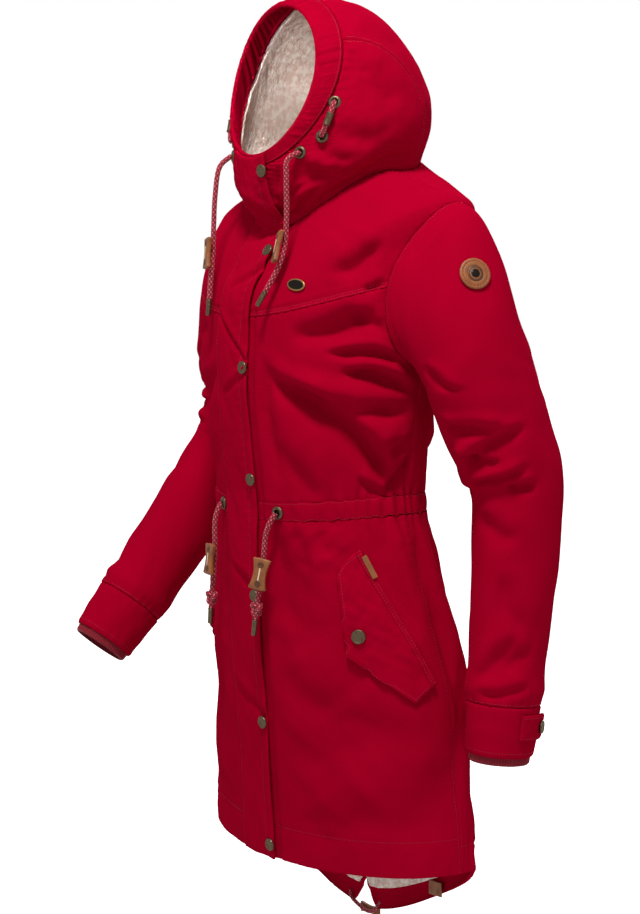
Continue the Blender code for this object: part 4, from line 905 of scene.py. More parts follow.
# ------------------------------------------------------------------ body panels
def body_panel(name, node, levels, start, end, columns, side, channels=(), sewn=()):
    """Shell panel between two body angles; each channel is a line pressed in at a distance from its foot."""
    t = crowd(columns)
    start, end = np.broadcast_to(start, levels.shape), np.broadcast_to(end, levels.shape)
    angle = (start[:, None] + (end - start)[:, None] * t[None, :]) * side
    level = np.repeat(levels[:, None], len(t), axis=1)
    normal = outward(plain_body, angle, level)
    outer = body(angle, level)
    along, across = arc(outer, 0), arc(outer, 1)
    for distance in channels:
        away = along[-1:] - along - distance
        wavy = 1 + 0.8 * puckers(across, 0.0105, 2, 57)
        ridges = 0.0006 * wavy * np.exp(-((np.abs(away) - 0.005) / 0.0035) ** 2)
        outer = outer - normal * (0.0012 * np.exp(-(away / 0.0019) ** 2) - ridges)[..., None]
    near_top = np.exp(-along / 0.012)
    near_foot = np.exp(-(along[-1:] - along) / 0.012)
    near_end = np.exp(-(across[:, -1:] - across) / 0.010)
    waves = puckers(across, 0.0098, 1.9, 61) * (near_top + near_foot)
    waves = waves + puckers(along, 0.0102, 1.7, 57) * near_end
    outer = outer + normal * (waves * PANEL_PUCKER)[..., None]
    outer = edge_fall(outer, normal, drop=0.0004)
    cloth(name, [node], outer, normal, turned_in(outer, SHELL), shell_cloth,
          flip=side == RIGHT)
    sew(outer, normal, sewn, along, across)


def row_at(outer, normal, lengths, distance, from_end=False):
    """Points at a set distance from a grid's first (or last) row, down every column."""
    line, out = [], []
    for c in range(outer.shape[1]):
        marks = lengths[:, c]
        d = marks[-1] - distance if from_end else distance
        line.append([np.interp(d, marks, outer[:, c, i]) for i in range(3)])
        out.append([np.interp(d, marks, normal[:, c, i]) for i in range(3)])
    return np.array(line), np.array(out)


def column_at(outer, normal, lengths, distance, from_end=False):
    """Points at a set distance from a grid's first (or last) column, along every row."""
    return row_at(outer.transpose(1, 0, 2), normal.transpose(1, 0, 2), lengths.T, distance, from_end)


def sew(outer, normal, lines, along=None, across=None):
    """Stitch rows at set distances from a grid's top, foot, start or end edge."""
    along = arc(outer, 0) if along is None else along
    across = arc(outer, 1) if across is None else across
    for edge, distance in lines:
        if edge in ("top", "foot"):
            stitch_row(*row_at(outer, normal, along, distance, edge == "foot"))
        else:
            stitch_row(*column_at(outer, normal, across, distance, edge == "end"))


def hole_edge(level, wide):
    """Angle that the arm hole takes from a panel at a level."""
    return wide * np.sqrt(np.clip(1 - ((level - HOLE_MIDDLE) / HOLE_HALF) ** 2, 0, 1))


def fine_levels(top, foot, count):
    """Levels of a panel, closer round the top and foot of the arm hole."""
    marks = top + (foot - top) * crowd(count)
    hole = HOLE_MIDDLE - HOLE_HALF * np.cos(np.linspace(0, math.pi, 60))
    hole = np.concatenate([hole[:8], hole[-8:]])
    hole = hole[(hole > top + 0.05) & (hole < foot - 0.05)]
    return np.unique(np.round(np.concatenate([marks, hole]), 5))


def skirt_levels(count):
    return SKIRT_TOP + LEVEL_GAP + (HEM_LEVEL - WAIST_LEVEL - TUNNEL_DOWN - LEVEL_GAP) * crowd(count)


def vent_gap(levels):
    """Angle that the vent takes from a back skirt at a level."""
    return np.clip((levels - VENT_LEVEL) / (HEM_LEVEL - VENT_LEVEL), 0, 1) * VENT_HALF / VENT_RADIUS


YOKE_TOPSTITCH = 0.0050
FRONT_HEM = 0.0390
BACK_HEM = 0.0300
for side in (LEFT, RIGHT):
    word = WORD[side]
    levels = fine_levels(LEVEL_GAP, YOKE_LEVEL - LEVEL_GAP, 58)
    edge = SIDE - hole_edge(levels, ARM_HOLE_FRONT) - SEAM_ANGLE
    body_panel(f"yoke {word}", f"yoke_front_{word}", levels, FRONT_GAP, edge, 92, side, (YOKE_TOPSTITCH,),
               (("foot", YOKE_TOPSTITCH), ("foot", 0.0018)))
    levels = fine_levels(YOKE_LEVEL + LEVEL_GAP, BODICE_FOOT - LEVEL_GAP, 84)
    edge = SIDE - hole_edge(levels, ARM_HOLE_FRONT) - SEAM_ANGLE
    body_panel(f"front {word}", f"front_{word}", levels, FRONT_GAP, edge, 96, side)
    body_panel(f"skirt front {word}", f"skirt_front_{word}", skirt_levels(128), FRONT_GAP, SIDE - SEAM_ANGLE,
               100, side, (FRONT_HEM,), (("foot", FRONT_HEM), ("end", 0.0016)))
levels = fine_levels(LEVEL_GAP, BODICE_FOOT - LEVEL_GAP, 130)
edge = SIDE + hole_edge(levels, ARM_HOLE_BACK) + SEAM_ANGLE
body_panel("back panel", "back", levels, edge, TURN - edge, 130, LEFT)
for side in (LEFT, RIGHT):
    word = WORD[side]
    levels = skirt_levels(140)
    stop = BACK - FRONT_GAP - vent_gap(levels)
    body_panel(f"skirt back {word}", f"skirt_back_{word}", levels, SIDE + SEAM_ANGLE, stop, 96, side,
               (BACK_HEM,), (("foot", BACK_HEM), ("end", 0.0040)))

# ------------------------------------------------------------------ waist tunnel
rows = BODICE_FOOT + (TUNNEL_UP + TUNNEL_DOWN) * crowd(14)
first = float(front_angle(FRONT_GAP, WAIST_LEVEL))
angle, level = np.meshgrid(np.linspace(first, TURN - first, 600), rows)
across_band = (level - rows[0]) / (rows[-1] - rows[0])
swell = np.sin(math.pi * across_band) ** 0.7
drawn = drawn_share(wrapped(angle))
rise = (0.0010 + 0.0019 * gather_wave(angle, 0.8)) * swell * drawn
rise = rise + 0.0012 * gather_wave(angle) * (1 - swell) * drawn
normal = outward(plain_body, angle, level)
outer = body(angle, level, rise)
shift = 0.0022 * gather_wave(angle + 0.03) * (across_band - 0.35) * drawn
outer = outer + stack(0.0, 0.0, shift)
outer = edge_fall(outer, normal, reach=0.0014, drop=0.0002)
cloth("waist band", ["waist_tunnel"], outer, normal, SHELL, shell_cloth)
sew(outer, normal, (("top", 0.0017), ("foot", 0.0017)))

# ------------------------------------------------------------------ placket
def strip_rows(levels, xs):
    """Rows of points at set distances from the front middle; levels below 0 lie on the collar."""
    rows = []
    for level in levels:
        if level < 0:
            half = float(between_rows(HOOD, HOOD_FOOT + level)[4])
            angle = math.pi - np.arcsin(xs / half)
            spot = np.full(len(xs), HOOD_FOOT + level)
            rows.append(hood(angle, spot, hood_relief(angle, spot) * 0.3))
        else:
            rows.append(body(front_angle(xs, level), np.full(len(xs), level)))
    return np.array(rows)


def grid_normals(points):
    return unit(np.cross(np.gradient(points, axis=0), np.gradient(points, axis=1)))


def blur_rows(points, passes):
    for _ in range(passes):
        points[1:-1] = (points[:-2] + 2 * points[1:-1] + points[2:]) / 4
    return points


# Creases of the placket: distance across it in radians of 1 / 3.2 m, and height.
PLACKET_CREASES = (
    ("twist one", 0.0, -0.160, 11.0, -0.212, 0.001, 0.0045, -0.0016, 0.0008),
    ("twist two", 2.0, -0.245, 12.0, -0.214, 0.001, 0.0045, -0.0013, 0.0006),
    ("snap pull one", 2.0, -0.130, 13.0, -0.100, 0.001, 0.0050, -0.0020, 0.0010),
    ("snap pull two", 1.0, -0.440, 13.0, -0.470, 0.001, 0.0050, -0.0018, 0.0009),
    ("snap pull three", 0.0, -0.580, 12.0, -0.612, 0.001, 0.0060, -0.0018, 0.0009),
    ("collar twist", 0.0, -0.030, 10.0, -0.052, 0.001, 0.0060, -0.0026, 0.0012),
    ("collar fold", 2.0, -0.075, 12.0, -0.062, 0.001, 0.0050, -0.0022, 0.0010),
)
PLACKET_EDGE_ROW = 0.0130      # stitch rows, from its left and right edge
PLACKET_SEAM_ROW = 0.0030
xs = PLACKET_RIGHT + (PLACKET_LEFT - PLACKET_RIGHT) * crowd(44)
levels = np.concatenate([np.linspace(-7.9, -0.12, 56), np.linspace(0.05, HEM_LEVEL, 260)])
base = blur_rows(strip_rows(levels, xs), 3)
normal = grid_normals(base)
along, across = arc(base, 0), arc(base, 1)
z = base[..., 2]
free = np.exp(-(across[:, -1:] - across) / 0.010)
lift = PLACKET_LIFT + 0.0022 * free
lift = lift + free * (0.0012 * ripple(z * 0 + 0.3, z, 0.16, 3.0) + 0.0004 * ripple(z * 0, z, 0.05, 7.0))
wave = 0.0007 * ripple(across * 1.6, z * 0.8, 0.055, 8.0)
twist = crease_depth(PLACKET_CREASES, across * 3.2 - 0.02, z, 1.0, 1.0)
from_edge = across[:, -1:] - across - PLACKET_EDGE_ROW
groove = 0.0009 * np.exp(-(from_edge / 0.0014) ** 2)
groove = groove + 0.0006 * np.exp(-((across - PLACKET_SEAM_ROW) / 0.0012) ** 2)
pucker = 0.00035 * puckers(along, 0.0100, 2, 43)
pucker = pucker * (np.exp(-np.abs(from_edge) / 0.005) + np.exp(-across / 0.006))
top = base + normal * (lift + PLACKET_WALL + wave + twist - groove + pucker)[..., None]
top = edge_fall(top, normal, reach=0.0013, drop=0.0014)
cloth("storm placket", ["placket"], top, normal, PLACKET_WALL - 0.0004, shell_cloth)
sew(top, normal, (("end", PLACKET_EDGE_ROW), ("start", PLACKET_SEAM_ROW)))


# ------------------------------------------------------------------ hood
HOOD_GAP = 0.0008
PANEL_TOP, PANEL_FOOT = 1.006, HOOD_FOOT - 0.005


def hood_panel(name, node, start, end, columns, sewn):
    """Shell panel of the hood between two angles, from the rim's seam to the neck."""
    angle, level = np.meshgrid(start + (end - start) * crowd(columns),
                               PANEL_TOP + (PANEL_FOOT - PANEL_TOP) * crowd(96))
    normal = hood_out(angle, level)
    outer = hood(angle, level, hood_relief(angle, level))
    along, across = arc(outer, 0), arc(outer, 1)
    near_top = np.exp(-along / 0.014)
    waves = puckers(across, 0.011, 1.9, 47) * near_top * 0.0007
    sides = np.exp(-across / 0.010) + np.exp(-(across[:, -1:] - across) / 0.010)
    waves = waves + puckers(along, 0.0105, 1.5, 51) * sides * 0.00035
    outer = edge_fall(outer + normal * waves[..., None], normal, reach=0.0017, drop=0.0014)
    cloth(name, [node], outer, normal, turned_in(outer, SHELL), shell_cloth, flip=True)
    sew(outer, normal, sewn, along, across)


hood_panel("hood centre strip", "hood_centre", -STRIP_HALF + HOOD_GAP, STRIP_HALF - HOOD_GAP, 70,
           (("start", 0.0035), ("end", 0.0035)))
for side in (LEFT, RIGHT):
    ends = (STRIP_HALF + HOOD_GAP, math.pi - 0.0016)
    start, end = (ends[0], ends[1]) if side == LEFT else (-ends[1], -ends[0])
    hood_panel(f"hood side {WORD[side]}", f"hood_side_{WORD[side]}", start, end, 110,
               (("end" if side == RIGHT else "start", 0.0020),))


RIM_OVER = 0.46                # where the rim turns over its edge


def rim_line(angle, t):
    """The rim from its outer seam over the edge to the facing's inner seam, t from 0 to 1."""
    outside = np.clip(t / RIM_OVER, 0, 1)
    inside = np.clip((t - RIM_OVER) / (1 - RIM_OVER), 0, 1)
    level = np.where(t < RIM_OVER, 0.97 * (1 - outside), inside * 1.30)
    edge = np.exp(-((t - RIM_OVER) / 0.075) ** 2)
    swell = np.sin(math.pi * outside) ** 0.8
    away = np.clip((math.pi - np.abs(angle) - 0.60) / 0.25, 0, 1)
    slant = angle + np.where(t < RIM_OVER, 0.10, 0.34) * (level - 0.5)
    wave = np.sin(slant * 47 + 2.6 * np.sin(slant * 7) + 1.4 * np.sin(slant * 19))
    wave = wave * (0.55 + 0.45 * np.sin(slant * 5.3 + 1.0))
    small = np.sin(slant * 97 + 1.3 * np.sin(slant * 17))
    puff = (0.0020 + (0.0011 * wave + 0.0006 * small) * (0.35 + 0.65 * np.abs(np.cos(math.pi * outside))))
    groove = -0.0006 * np.exp(-((outside - 0.90) / 0.040) ** 2)
    outside_rise = puff * swell * away + groove * away
    facing = -RIM_WALL + (0.0038 * wave + 0.0010 * small) * np.sin(math.pi * inside)
    blend = smooth((t - RIM_OVER + 0.05) / 0.10)
    rise = outside_rise * (1 - blend) + facing * blend
    return level, rise, edge


t = np.unique(np.concatenate([np.linspace(0, 1, 32), np.linspace(0.40, 0.52, 9)]))
angle, tt = np.meshgrid(np.linspace(-math.pi, math.pi, 361)[:-1], t)
level, rise, edge = rim_line(angle, tt)
normal = hood_out(angle, np.maximum(level, 0.05))
outer = plain_hood(angle, level) + normal * rise[..., None]
forward = unit(plain_hood(angle, np.zeros_like(angle)) - plain_hood(angle, np.full_like(angle, 0.5)))
outer = outer + forward * (0.0022 * edge)[..., None]
rim_normal = unit(np.cross(np.gradient(outer, axis=1), np.gradient(outer, axis=0)))
if np.sum(rim_normal * normal, -1)[5].mean() < 0:
    rim_normal = -rim_normal
cloth("hood rim", ["hood_rim"], outer, rim_normal, 0.0012, facing_cloth, closed=True,
      flip=True)
line_level, line_rise, _ = rim_line(angle[:1], np.full_like(angle[:1], RIM_OVER * 0.10))
line = plain_hood(angle[:1], line_level) + normal[:1] * (line_rise[..., None] + 0.0002)
stitch_row(line[0], normal[0])


def curls(a, b, size, seed):
    """Bumpy pile height, 0 to 1."""
    value = ripple(a, b, size, seed) * 0.5 + ripple(b, a, size * 0.61, seed + 2) * 0.3
    return value + ripple(a + 0.4 * b, b - 0.3 * a, size * 0.37, seed + 5) * 0.35


FLEECE_TOP, FLEECE_FOOT = 1.22, 7.1
angle, level = np.meshgrid(np.linspace(-math.pi, math.pi, 241)[:-1],
                           FLEECE_TOP + (FLEECE_FOOT - FLEECE_TOP) * crowd(96))
normal = hood_out(angle, level)
a, b = np.sin(angle) * 0.10, np.cos(angle) * 0.10 + level * HOOD_ROW
pile = 0.0010 * curls(a, b, 0.0170, 1.0) + 0.0008 * curls(b, a, 0.0078, 3.0)
sunk = np.minimum(hood_relief(angle, level), 0)
outer = plain_hood(angle, level) + normal * (sunk - SHELL - 0.0014)[..., None]
inner = outer - normal * (FLEECE + 0.0010 + pile)[..., None]
cloth("hood fleece", ["hood_lining"], inner, -normal, FLEECE, fleece, closed=True)

# ------------------------------------------------------------------ sleeves, cuffs and ribs
def cuff_form(side, angle, along, grow):
    """Tapering tube below the arm's last ring."""
    last = float(len(arm_rings(side)) - 1)
    middle, out, fore, across, deep, run = arm_frame(side, np.full(np.shape(angle), last))
    shrink = 1 - (1 - CUFF_TAPER) * along / CUFF_LENGTH
    s, c = np.sin(angle)[..., None], np.cos(angle)[..., None]
    wide = (across * shrink + grow)[..., None]
    thick = (deep * shrink + grow)[..., None]
    return middle + run * np.asarray(along)[..., None] + out * c * wide + fore * s * thick


def cuff_normal(outer, side, angle, along):
    return unit(outer - cuff_form(side, angle, along, -0.030))


def joined(grid):
    """A closed grid with its first column repeated at the end."""
    return np.concatenate([grid, grid[:, :1]], 1)


TAB_ANGLES = (math.radians(10), math.radians(-52))
RIB_END = CUFF_LENGTH + RIB_SHOWS
for side in (LEFT, RIGHT):
    word = WORD[side]
    foot = sleeve_foot(side)
    rows = (foot - LEVEL_GAP) * crowd(210)
    angle, level = np.meshgrid(np.linspace(0, TURN, 109)[:-1], rows)
    normal = sleeve_out(side, angle, level)
    rise = sleeve_relief(side, angle, level)
    rise = rise - 0.0005 * np.exp(-(level / 0.030) ** 2) - 0.0010 * np.exp(-((foot - level) / 0.02) ** 2)
    around = angle * SLEEVE_RADIUS
    cap = np.exp(-level / 0.28) * (0.00025 * puckers(around, 0.0105, 2, 33))
    cuffed = np.exp(-(foot - level) / 0.16) * (0.0009 * np.sin(angle * 21 + 2 * np.sin(angle * 4)))
    outer = plain_sleeve(side, angle, level) + normal * (rise + cap + cuffed)[..., None]
    wall = (SHELL + TURNED_IN * 1.5 * np.exp(-level / 0.10))[..., None]
    cloth(f"sleeve {word}", [f"sleeve_{word}"], outer, normal, wall, shell_cloth, closed=True,
          flip=side == RIGHT)
    sew(joined(outer), joined(normal), (("top", 0.0045), ("foot", 0.0030)))
    angle, along = np.meshgrid(np.linspace(0, TURN, 121)[:-1], 0.0004 + (CUFF_LENGTH - 0.0004) * crowd(34))
    to_foot = CUFF_LENGTH - along
    edge = -0.0012 * np.exp(-(along / 0.0016) ** 2) - 0.0012 * np.exp(-(to_foot / 0.0016) ** 2)
    wave = 0.0009 * ripple(np.sin(angle) * 0.05 + np.cos(angle) * 0.03, along, 0.05, 9.0 + side)
    puck = 0.0004 * np.sin(angle * 24 + 2 * np.sin(angle * 5))
    puck = puck * (np.exp(-along / 0.01) + np.exp(-to_foot / 0.008))
    outer = cuff_form(side, angle, along, 0.0008 + edge + wave + puck)
    normal = cuff_normal(outer, side, angle, along)
    cloth(f"cuff {word}", [f"cuff_{word}"], outer, normal, CUFF_WALL, shell_cloth, closed=True,
          flip=side == RIGHT)
    sew(joined(outer), joined(normal), (("foot", 0.0060),))
    angle, along = np.meshgrid(np.linspace(0, TURN, 361)[:-1], RIB_END - RIB_LENGTH + RIB_LENGTH * crowd(20))
    ribs = 0.0007 * np.cos(angle * 72) * (1 - np.exp(-((RIB_END - along) / 0.0015) ** 2))
    edge = -0.0008 * np.exp(-((RIB_END - along) / 0.0010) ** 2)
    outer = cuff_form(side, angle, along, -0.0030 + ribs + edge)
    normal = cuff_normal(outer, side, angle, along)
    cloth(f"rib {word}", [f"rib_{word}"], outer, normal, RIB_WALL, rib_knit, closed=True,
          flip=side == RIGHT)
    tt, rr = np.meshgrid(crowd(50), crowd(18))
    half = 0.014 * np.sqrt(np.clip(1 - np.clip((tt - 0.90) / 0.10, 0, 1) ** 2 * 0.55, 0.05, 1))
    along = 0.022 + (rr - 0.5) * 2 * half
    angle = TAB_ANGLES[0] + (TAB_ANGLES[1] - TAB_ANGLES[0]) * tt
    lift = 0.0008 + 0.0036 + 0.0016 * smooth((tt - 0.7) / 0.3)
    lift = lift + 0.0004 * ripple(tt * 0.06, rr * 0.03, 0.03, 1.0)
    dent = -0.0008 * np.exp(-((tt - 0.93) / 0.05) ** 2 - ((rr - 0.5) / 0.25) ** 2)
    outer = cuff_form(side, angle, along, lift + dent)
    normal = cuff_normal(outer, side, angle, along)
    outer = edge_fall(outer, normal, reach=0.0012, drop=0.0010)
    cloth(f"cuff tab {word}", [f"cuff_tab_{word}"], outer, normal, 0.0024, shell_cloth,
          flip=side == LEFT)
    sew(outer, normal, (("top", 0.0032), ("foot", 0.0032), ("end", 0.0040)))


# ------------------------------------------------------------------ pocket flaps
def levels_at(angle, z):
    """Body levels of heights, found by halving."""
    low, high = np.zeros(np.shape(z)), np.full(np.shape(z), float(HEM_LEVEL))
    for _ in range(30):
        middle = (low + high) / 2
        lower = plain_body(angle, middle)[..., 2] > z
        low, high = np.where(lower, middle, low), np.where(lower, high, middle)
    return (low + high) / 2


FLAP_BEND = 0.72               # share of the flap's length above its front foot
FLAP_CREASES = (
    ("snap drag", 0.006, 0.078, 0.034, 0.050, 0.002, 0.0060, -0.0020, 0.0010),
    ("low drag", 0.010, 0.116, 0.040, 0.086, 0.002, 0.0070, -0.0020, 0.0010),
    ("foot pucker", 0.034, 0.146, 0.046, 0.120, 0.001, 0.0040, -0.0016, 0.0008),
)


def on_flap(u, v):
    """Body angle in degrees and height of a spot on the flap, u across and v down."""
    corner = {row[0]: np.array(row[1:]) for row in FLAP}
    v = v[..., None]
    upper = corner["front top"] + (corner["front foot"] - corner["front top"]) * v / FLAP_BEND
    lower = corner["front foot"] + (corner["foot"] - corner["front foot"]) * (v - FLAP_BEND) / 0.28
    front = np.where(v < FLAP_BEND, upper, lower)
    back = corner["top"] + (corner["back foot"] - corner["top"]) * v
    return front + (back - front) * u[..., None]


for side in (LEFT, RIGHT):
    word = WORD[side]
    u, v = np.meshgrid(crowd(56), np.unique(np.concatenate([crowd(96), [0.70, 0.71, 0.72, 0.73, 0.74]])))
    rounded = 0.10 * np.exp(-(v / 0.05) ** 2) * (1 - u) ** 6
    spots = on_flap(u, np.clip(v + rounded * (1 - v), 0, 1))
    angle, z = np.radians(spots[..., 0]) * side, spots[..., 1]
    level = levels_at(angle, z)
    normal = outward(plain_body, angle, level)
    crown = 0.0018 * np.sin(math.pi * u) * np.sin(math.pi * np.minimum(v * 1.1, 1))
    base = body(angle, level, FLAP_LIFT + FLAP_WALL + crown)
    along, across = arc(base, 0), arc(base, 1)
    to_back = across[:, -1:] - across
    groove = 0.0007 * np.exp(-((to_back - 0.0074) / 0.0012) ** 2)
    welt = 0.0018 * smooth((to_back - 0.0066) / -0.0010) - groove
    lip = np.exp(-across / 0.016) + np.exp(-(along[-1:] - along) / 0.018)
    welt = welt + 0.0016 * np.clip(lip, 0, 1)
    soft = 0.0012 * ripple(u * 0.06, v * 0.15, 0.05, 11.0) + 0.0005 * ripple(u * 0.06, v * 0.15, 0.02, 12.0)
    drag = crease_depth(FLAP_CREASES, np.degrees(across), along, 1.0, 1.0)
    top = base + normal * (welt + soft + drag)[..., None]
    top = edge_fall(top, normal, reach=0.0014, drop=0.0015)
    cloth(f"pocket flap {word}", [f"pocket_flap_{word}"], top, normal, FLAP_WALL, shell_cloth,
          flip=side == RIGHT)
    sew(top, normal, (("end", 0.0016), ("end", 0.0058), ("start", 0.0050), ("foot", 0.0050), ("top", 0.0050)))


# ------------------------------------------------------------------ fleece strips inside the back hem
HEM_FLEECE_TOP, HEM_FLEECE_FOOT = 11.42, 12.82
for side in (LEFT, RIGHT):
    word = WORD[side]
    rows = HEM_FLEECE_TOP + (HEM_FLEECE_FOOT - HEM_FLEECE_TOP) * crowd(60)
    stop = BACK - 0.012 - vent_gap(rows) * 1.3
    t = crowd(90)
    angle = ((SIDE + 0.30) + (stop - SIDE - 0.30)[:, None] * t[None, :]) * side
    level = np.repeat(rows[:, None], len(t), axis=1)
    normal = outward(plain_body, angle, level)
    outer = body(angle, level) - normal * (SHELL + 0.0006)
    around, height = angle * 0.2, outer[..., 2]
    pile = 0.0010 * curls(around, height, 0.013, 2.0) + 0.0006 * curls(height, around, 0.006, 4.0)
    inner = outer - normal * (FLEECE + pile)[..., None]
    cloth(f"hem fleece {word}", [f"lining_back_{word}"], inner, -normal, FLEECE, fleece,
          flip=side == LEFT)


# ------------------------------------------------------------------ hard pieces
def stood_on(points, place):
    """Points moved from a place's own frame (matrix) to the coat's."""
    world = np.array(place)
    return points @ world[:3, :3].T + world[:3, 3]


def dressed(thing, nodes):
    if nodes:
        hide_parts(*nodes)
    return thing


def spun(name, profile, steps, material, place, nodes=()):
    """Round piece turned about Z from (radius, height) pairs, stood on a place (matrix)."""
    turns = np.linspace(0, TURN, steps + 1)[:-1]
    rows = [np.stack([radius * np.cos(turns), radius * np.sin(turns), np.full(steps, height)], -1)
            for radius, height in profile]
    faces = grid_faces(len(profile), steps, True, False).tolist()
    uv = np.stack([np.tile(turns, len(profile)), np.repeat(np.arange(len(profile)), steps)], -1)
    points = stood_on(np.array(rows).reshape(-1, 3), place)
    return dressed(put_mesh(name, points, faces, material, uv), nodes)


def scaled(profile, radius):
    """A profile whose radii are shares of a radius."""
    return [(share * radius, height) for share, height in profile]


def standing(point, normal, up=(0, 0, 1)):
    """Matrix of a place at a point, with Z along a normal."""
    z = Vector([float(v) for v in normal]).normalized()
    x = Vector(up).cross(z).normalized()
    y = z.cross(x)
    return Matrix.Translation(Vector([float(v) for v in point])) @ Matrix((x, y, z)).transposed().to_4x4()


def node_points(node):
    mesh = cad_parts[node].data
    points = np.empty(len(mesh.vertices) * 3)
    mesh.vertices.foreach_get("co", points)
    return points.reshape(-1, 3)


def main_axes(points, middle):
    """Directions in which points spread, the narrowest first, as columns."""
    return np.linalg.eigh(np.cov((points - middle).T))[1]


def seat_of(node, hub=(0.0, 0.0)):
    """Middle of a flat CAD piece's underside, and its normal away from an upright axis."""
    points = node_points(node)
    centre = (points.min(0) + points.max(0)) / 2
    normal = main_axes(points, centre)[:, 0]
    if normal @ (centre - np.array([*hub, centre[2]])) < 0:
        normal = -normal
    return centre + normal * ((points - centre) @ normal).min(), normal


# Profiles of turned pieces: share of the radius, and height in metres.
SNAP_PROFILE = ((0.0, 0.00120), (0.20, 0.00125), (0.42, 0.00135), (0.50, 0.00165), (0.56, 0.00165),
                (0.62, 0.00135), (0.74, 0.00150), (0.82, 0.00205), (0.90, 0.00215), (0.97, 0.00160),
                (1.00, 0.00080), (1.00, 0.0), (0.0, 0.0))
EYELET_PROFILE = ((0.46, -0.0002), (0.47, 0.0011), (0.55, 0.0019), (0.72, 0.0022), (0.90, 0.0016),
                  (1.0, 0.0006), (1.0, -0.0004), (0.46, -0.0004), (0.46, -0.0002))
EYELET_HOLE_PROFILE = ((0.0, 0.0004), (0.47, 0.0004), (0.47, 0.0001), (0.0, 0.0001))
SNAP_RADIUS = 0.0072
FLAP_SNAP_RADIUS = 0.0081
SNAP_HUBS = {"snap_cuff_left": (0.242, 0.05), "snap_cuff_right": (-0.255, -0.13)}
WAIST_EYELET_RADIUS = 0.0075
HOOD_EYELETS = ((*LOOP_TOP, 0.0072), (*LOOP_FOOT, 0.0072), (*CORD_EXIT, 0.0070))

for node in sorted(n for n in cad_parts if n.startswith("snap_")):
    point, normal = seat_of(node, SNAP_HUBS.get(node, (0, 0)))
    radius = FLAP_SNAP_RADIUS if "flap" in node else SNAP_RADIUS
    spun(node.replace("_", " "), scaled(SNAP_PROFILE, radius), 40, brass, standing(point, normal),
         [node])


def eyelet(name, point, normal, radius, nodes=()):
    place = standing(point, normal)
    spun(name, scaled(EYELET_PROFILE, radius), 40, brass, place, nodes)
    # The hole is a near-black disc: painted shade where the opening is.
    spun(name + " hole", scaled(EYELET_HOLE_PROFILE, radius), 24, dark_metal_and_hole_shade, place)


for side in (LEFT, RIGHT):
    level = np.array(float(WAIST_LEVEL))
    angle = front_angle(EYELET_X * side, level)
    eyelet(f"waist eyelet {WORD[side]}", body(angle, level, 0.0006), outward(plain_body, angle, level),
           WAIST_EYELET_RADIUS, [f"eyelet_waist_{WORD[side]}"])
    for number, (turn, level, radius) in enumerate(HOOD_EYELETS, 1):
        angle, level = np.array(side * turn), np.array(level)
        spot = hood(angle, level, float(hood_relief(angle, level)) + 0.0004)
        eyelet(f"hood eyelet {WORD[side]} {number}", spot, hood_out(angle, level), radius)


def rounded_plate(name, outline, thickness, bevel, material, place, nodes=(), dome=0.0):
    """Plate with softened edges: rings shrinking from an outline, front and back."""
    outline = np.array(outline, float)
    count = len(outline)
    centre = outline.mean(0)
    inward = unit(centre - outline)
    steps = ((bevel, -0.5), (0.0, -0.5 + bevel / thickness), (0.0, 0.5 - bevel / thickness),
             (bevel * 0.35, 0.5 - bevel * 0.35 / thickness), (bevel, 0.5), (bevel * 2.5, 0.5))
    rings = [(centre + (outline - centre) * 0.5, -0.5 * thickness)]
    rings += [(outline + inward * inset, height * thickness) for inset, height in steps]
    rings += [(centre + (outline - centre) * share, thickness / 2 + dome * (1 - share))
              for share in (0.6, 0.3)]
    points = [np.column_stack([ring, np.full(count, height)]) for ring, height in rings]
    middle = len(rings) * count
    points.append([[*centre, thickness / 2 + dome], [*centre, -thickness / 2]])
    faces = grid_faces(len(rings), count, True, True).tolist()
    last = middle - count
    faces += [(last + i, last + (i + 1) % count, middle) for i in range(count)]
    faces += [((i + 1) % count, i, middle + 1) for i in range(count)]
    points = stood_on(np.concatenate(points), place)
    return dressed(put_mesh(name, points, faces, material), nodes)


def bone(half_width, waist, half_length, count=20):
    """Bone-shaped outline, waisted in the middle, with rounded corners."""
    side = []
    for k in range(count + 1):
        s = k / count * 2 - 1
        side.append((waist + (half_width - waist) * abs(s) ** 1.8, half_length * s))
    end = [(half_width * math.cos(a), half_length + 0.0012 * math.sin(a))
           for a in np.linspace(0.25, math.pi - 0.25, 7)]
    return side + end + [(-x, y) for x, y in reversed(side)] + [(-x, -y) for x, y in end]


def frame_of(node, hint):
    """Matrix of a flat CAD piece: X across, Y along its length, Z out of its face."""
    points = node_points(node)
    normal, _, length = main_axes(points, points.mean(0)).T
    if normal @ np.array(hint) < 0:
        normal = -normal
    if length[2] < 0:
        length = -length
    matrix = np.eye(4)
    matrix[:3] = np.column_stack([np.cross(length, normal), length, normal, points.mean(0)])
    return matrix


def raised(place, *offset):
    """The same place, moved in its own frame."""
    return Matrix(place.tolist()) @ Matrix.Translation(offset)


